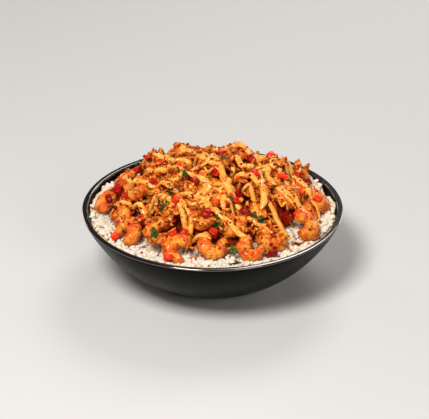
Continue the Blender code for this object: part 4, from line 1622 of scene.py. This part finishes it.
@dataclass
class Trimmings:
    """What is strewn over the heap last: chopped herb, small bits of pepper and onion crumbs."""

    herb_places: tuple[tuple[int, int], ...] = (
        (-37, -51), (-42, -69), (-12, 39), (7, 16), (-21, -12), (-30, -30), (25, -43), (3, -60), (34, -49),
        (15, -82), (14, -43), (-60, 10), (40, 50), (-30, 62), (62, 38), (-5, 76), (20, 70), (-55, 50),
    )
    leaves_each: int = 5
    bunch_spread: float = 1.6
    herb_size: tuple[float, float] = (7.2 * MM, 4.2 * MM)
    herb_waves: tuple[float, ...] = (0.0, 1.3, 2.9, 4.4)
    herb_rise: float = 0.9 * MM
    herb_thickness: float = 0.45 * MM
    speck_size: tuple[float, float] = (0.25, 0.45)
    speck_places: tuple[tuple[int, int], ...] = (
        (72, -50), (71, -57), (88, 21), (90, -12), (-82, -42), (-60, -66), (20, -88), (-88, 12), (60, 64),
        (-58, 66), (0, 90),
    )
    pepper_places: tuple[tuple[int, int], ...] = (
        (-51, 31), (-73, 6), (-66, 1), (-4, -54), (-21, -64), (-29, -70), (24, -46), (32, -21), (19, -32),
        (17, -40), (46, 40), (30, 20), (54, 5), (74, 33), (80, -10), (64, -36), (43, -76), (-32, -83),
        (-79, -10), (-72, -49), (69, -4), (-13, -22), (-27, -53), (-45, -10), (0, 5), (-20, 60), (20, 55),
        (50, 50), (-60, 45), (5, 78),
    )
    pepper_size: tuple[float, float] = (5.2 * MM, 7.4 * MM)
    crimson_size: float = 1.15
    red_chip_count: int = 45
    crimson_chip_count: int = 130
    chip_size: tuple[float, float] = (1.8 * MM, 4.0 * MM)
    chip_zone: float = 86 * MM
    crumb_count: int = 620
    crumb_size: tuple[float, float] = (1.0 * MM, 2.8 * MM)
    crumb_zone: float = 80 * MM
    highest: float = 98.7 * MM

    def model_leaf(self, wave: float) -> Kind:
        """Models one bit of leaf: a sheet, drawn in at both ends, waved and given its thickness.

        Args:
            wave: How strongly it waves.

        Returns:
            The leaf's kind.
        """
        deselect_all()
        bpy.ops.mesh.primitive_grid_add(x_subdivisions=8, y_subdivisions=4, size=1)
        obj = bpy.context.object
        length, width = self.herb_size
        for vertex in obj.data.vertices:
            u, v = vertex.co.x * 2, vertex.co.y * 2
            edge = (1.05 - u * u) * (1 + 0.18 * math.sin(9 * u + wave))
            rise = self.herb_rise * (math.sin(2.4 * u + wave) + v * v)
            vertex.co = Vector((length / 2 * u, width / 2 * v * edge, rise))
        thick = obj.modifiers.new("thickness", "SOLIDIFY")
        thick.thickness = self.herb_thickness
        add_rounding(obj, 1)
        apply_modifiers(obj)
        return Kind.of(obj)

    def model_chip(self, seed: int, detail: int) -> Kind:
        """Models one small chip: a ball that is cut flat on three sides and made uneven.

        Args:
            seed: A number that changes its cuts.
            detail: How finely the ball is divided.

        Returns:
            The chip's kind, about 1 across.
        """
        rng = random.Random(f"chip {seed}")
        deselect_all()
        bpy.ops.mesh.primitive_ico_sphere_add(subdivisions=detail, radius=0.5)
        obj = bpy.context.object
        with editing(obj):
            for _ in range(3):
                normal = Vector((rng.gauss(0, 1), rng.gauss(0, 1), rng.gauss(0, 1))).normalized()
                bpy.ops.mesh.select_all(action="SELECT")
                bpy.ops.mesh.bisect(plane_co=normal * 0.34, plane_no=normal, clear_outer=True, use_fill=True)
            bpy.ops.mesh.select_all(action="SELECT")
            bpy.ops.transform.resize(value=(1, rng.uniform(0.6, 0.9), rng.uniform(0.5, 0.8)))
        add_relief(obj, 0.5, 0.25, 1)
        apply_modifiers(obj)
        return Kind.of(obj)

    def model_dice(self, seed: int) -> Kind:
        """Models one small dice of pepper: a block with soft edges and one domed side.

        Args:
            seed: A number that changes its sides.

        Returns:
            The dice's kind, about 1 across.
        """
        rng = random.Random(f"dice {seed}")
        deselect_all()
        bpy.ops.mesh.primitive_cube_add(size=1)
        obj = bpy.context.object
        with editing(obj):
            bpy.ops.mesh.select_all(action="SELECT")
            bpy.ops.transform.resize(value=(1, rng.uniform(0.7, 0.95), rng.uniform(0.55, 0.8)))
            bpy.ops.mesh.bevel(offset=0.16, segments=2)
        for vertex in obj.data.vertices:
            vertex.co.z += 0.22 * (0.25 - vertex.co.x**2)
            vertex.co.x *= 1 + 0.3 * vertex.co.y
        add_relief(obj, 0.7, 0.16, 1)
        apply_modifiers(obj)
        return Kind.of(obj)

    def lay(
        self,
        strewn: Scatter,
        kind: Kind,
        place: Vector,
        size: float,
        lean: float,
        rng: random.Random,
        heap: Surface,
    ) -> None:
        """Lays one copy on the heap, leaning as the heap does under it.

        Args:
            strewn: What the copy is added to.
            kind: What is copied.
            place: Where it lies, seen from above.
            size: Its size.
            lean: How far it leans besides.
            rng: The draws.
            heap: What it comes to rest on.
        """
        found = heap.below(place.x, place.y)
        normal = found[1].lerp(UP, 0.3).normalized() if found else UP
        turn = tilted(rng.uniform(0, TURN), lean, rng.uniform(0, TURN))
        turn = normal.to_track_quat("Z", "X").to_matrix().to_4x4() @ turn
        start = Matrix.Translation((place.x, place.y, DROP_HEIGHT)) @ turn @ Matrix.Scale(size, 4)
        matrix = heap.settle(kind, start, 0.3, 0)
        if kind.placed(matrix)[:, 2].max() < self.highest:
            strewn.add(kind, matrix, rng.random())

    def strew(
        self, name: str, kinds: list[Kind], count: int, zone: float, sizes: tuple[float, float], heap: Surface
    ) -> Scatter:
        """Strews copies over the whole heap.

        Args:
            name: The name of the joined piece.
            kinds: What is strewn.
            count: How many copies.
            zone: The farthest distance to the axis.
            sizes: The smallest and the largest size.
            heap: What they come to rest on.

        Returns:
            The copies.
        """
        rng = random.Random(name)
        strewn = Scatter(name)
        for _ in range(count):
            place = polar(zone * math.sqrt(rng.random()), rng.uniform(0, TURN), 0)
            self.lay(strewn, rng.choice(kinds), place, rng.uniform(*sizes), rng.gauss(0, 0.3), rng, heap)
        return strewn

    def build(self, heap: Surface) -> list[bpy.types.Object]:
        """Lays the herb, the pepper bits and the crumbs.

        Args:
            heap: What they come to rest on.

        Returns:
            The joined pieces.
        """
        rng = random.Random("herb and pepper")
        leaves = [self.model_leaf(wave) for wave in self.herb_waves]
        chips = [self.model_chip(seed, 2) for seed in range(5)]
        coarse = [self.model_chip(seed, 1) for seed in range(8)]
        dice = [self.model_dice(seed) for seed in range(5)]
        herb = Scatter("herb_flakes")
        for x, y in self.herb_places:
            for _ in range(self.leaves_each):
                aside = [rng.gauss(0, self.bunch_spread) for _ in range(2)]
                place = Vector((x + aside[0], y + aside[1], 0)) * MM
                self.lay(herb, rng.choice(leaves), place, rng.uniform(0.6, 1.1), rng.gauss(0, 0.5), rng, heap)
        red, crimson = Scatter("red_pepper_bits"), Scatter("crimson_pepper_bits")
        for i, (x, y) in enumerate(self.pepper_places):
            strewn = crimson if i % 5 in (1, 3) else red
            size = rng.uniform(*self.pepper_size) * (self.crimson_size if strewn is crimson else 1)
            self.lay(strewn, rng.choice(dice), Vector((x, y, 0)) * MM, size, rng.gauss(0, 0.3), rng, heap)
        for strewn, count in ((red, self.red_chip_count), (crimson, self.crimson_chip_count)):
            for _ in range(count):
                place = polar(self.chip_zone * math.sqrt(rng.random()), rng.uniform(0, TURN), 0)
                self.lay(strewn, rng.choice(chips), place, rng.uniform(*self.chip_size), 0, rng, heap)
        for x, y in self.speck_places:
            size = rng.uniform(*self.speck_size)
            self.lay(herb, rng.choice(leaves), Vector((x, y, 0)) * MM, size, 0.3, rng, heap)
        crumbs = self.strew("onion_crumbs", coarse, self.crumb_count, self.crumb_zone, self.crumb_size, heap)
        looks = (
            (herb, HERB, "onion_mix"),
            (red, RED_PEPPER, "pepper"),
            (crimson, CRIMSON_PEPPER, "pepper"),
            (crumbs, CRUMB, "onion_mix"),
        )
        pieces = []
        for strewn, look, slot in looks:
            obj = strewn.join()
            finish_piece(obj, look.material(), ["onion_mix"])
            pieces.append(obj)
        return pieces


# The studio


@dataclass
class Studio:
    """The pale floor, the soft lights and the camera at the photo's angle."""

    image_width: int = 429
    pixels_per_metre: float = 1295.0
    elevation: float = math.radians(27.7)
    distance: float = 1.15
    aim_height: float = 54 * MM
    off_centre: float = 2.0
    sensor: float = 36.0
    floor_size: float = 6.0
    floor_colour: Colour = (0.60, 0.62, 0.66)
    floor_roughness: float = 0.8
    warm: Colour = (1.0, 0.93, 0.83)
    room_colour: Colour = (1.0, 0.97, 0.93)
    room_light: float = 0.06

    def build_floor(self) -> None:
        """Lays a pale, flat floor under the bowl."""
        deselect_all()
        bpy.ops.mesh.primitive_plane_add(size=self.floor_size)
        floor = bpy.context.object
        floor.name = "studio_floor"
        look = bpy.data.materials.new("studio_floor")
        look.use_nodes = True
        shader = look.node_tree.nodes["Principled BSDF"]
        shader.inputs["Base Color"].default_value = (*self.floor_colour, 1)
        shader.inputs["Roughness"].default_value = self.floor_roughness
        floor.data.materials.append(look)

    def add_light(self, name: str, place: tuple[float, float, float], size: float, power: float) -> None:
        """Adds a soft, warm, square light that faces the heap.

        Args:
            name: Its name.
            place: Where it hangs.
            size: The length of its side.
            power: Its power in watts.
        """
        light = bpy.data.lights.new(name, "AREA")
        light.shape = "SQUARE"
        light.size = size
        light.energy = power
        light.color = self.warm
        lamp = bpy.data.objects.new(name, light)
        lamp.location = place
        aim = Vector((0, 0, self.aim_height)) - Vector(place)
        lamp.rotation_euler = aim.to_track_quat("-Z", "Y").to_euler()
        bpy.context.scene.collection.objects.link(lamp)

    def build_lights(self) -> None:
        """Hangs a key light overhead, softer ones behind that edge the lip, and a weak fill on the right."""
        self.add_light("key", (-0.35, -0.72, 1.12), 0.4, 20)
        self.add_light("back", (0.3, 0.9, 1.0), 0.6, 7)
        self.add_light("left_edge", (-1.1, 1.2, 0.4), 0.5, 5)
        self.add_light("right_edge", (1.1, 1.2, 0.4), 0.5, 5)
        self.add_light("fill", (0.7, -1.2, 0.75), 0.6, 6)
        world = bpy.data.worlds.new("studio")
        world.use_nodes = True
        background = world.node_tree.nodes["Background"]
        background.inputs["Color"].default_value = (*self.room_colour, 1)
        background.inputs["Strength"].default_value = self.room_light
        bpy.context.scene.world = world

    def build_camera(self) -> None:
        """Sets the camera at the photo's elevation, with the rim as large as in the photo."""
        view_width = self.image_width / self.pixels_per_metre
        data = bpy.data.cameras.new("camera")
        data.sensor_width = self.sensor
        data.lens = self.sensor * self.distance / view_width
        camera = bpy.data.objects.new("camera", data)
        away = Vector((0, -math.cos(self.elevation), math.sin(self.elevation)))
        target = Vector((self.off_centre / self.pixels_per_metre, 0, self.aim_height))
        camera.location = target + away * self.distance
        camera.rotation_euler = (-away).to_track_quat("-Z", "Y").to_euler()
        bpy.context.scene.collection.objects.link(camera)
        bpy.context.scene.camera = camera

    def build(self) -> None:
        """Builds the floor, the lights and the camera, and shows colours as they are."""
        bpy.context.scene.view_settings.view_transform = "Standard"
        self.build_floor()
        self.build_lights()
        self.build_camera()


def main() -> None:
    """Builds the bowl and its food in the order in which it is laid."""
    logging.basicConfig(level=logging.INFO, format="%(message)s")
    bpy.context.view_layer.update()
    bowl = Bowl()
    bowl_piece = bowl.build()
    rice = Rice(bowl)
    rice_bed = rice.build_bed()
    onion = Onion(rice)
    onion_bed = onion.build_bed()
    shrimp = Shrimp(rice).build()
    pepper = Pepper()
    dice = pepper.build()
    grains = rice.build_grains(rice_bed, Surface(bowl_piece, *shrimp, *dice))
    heap = [rice_bed, onion_bed, grains, *shrimp, *dice]
    shreds = onion.build_shreds("onion_shreds", onion.shred_layers, heap, pepper.middles())
    heap += [shreds, *Sauce().build(Surface(*heap, shreds))]
    heap.append(onion.build_shreds("top_onion_shreds", onion.top_layers, heap, pepper.middles()))
    Trimmings().build(Surface(*heap))
    Studio().build()


if __name__ == "__main__":
    main()
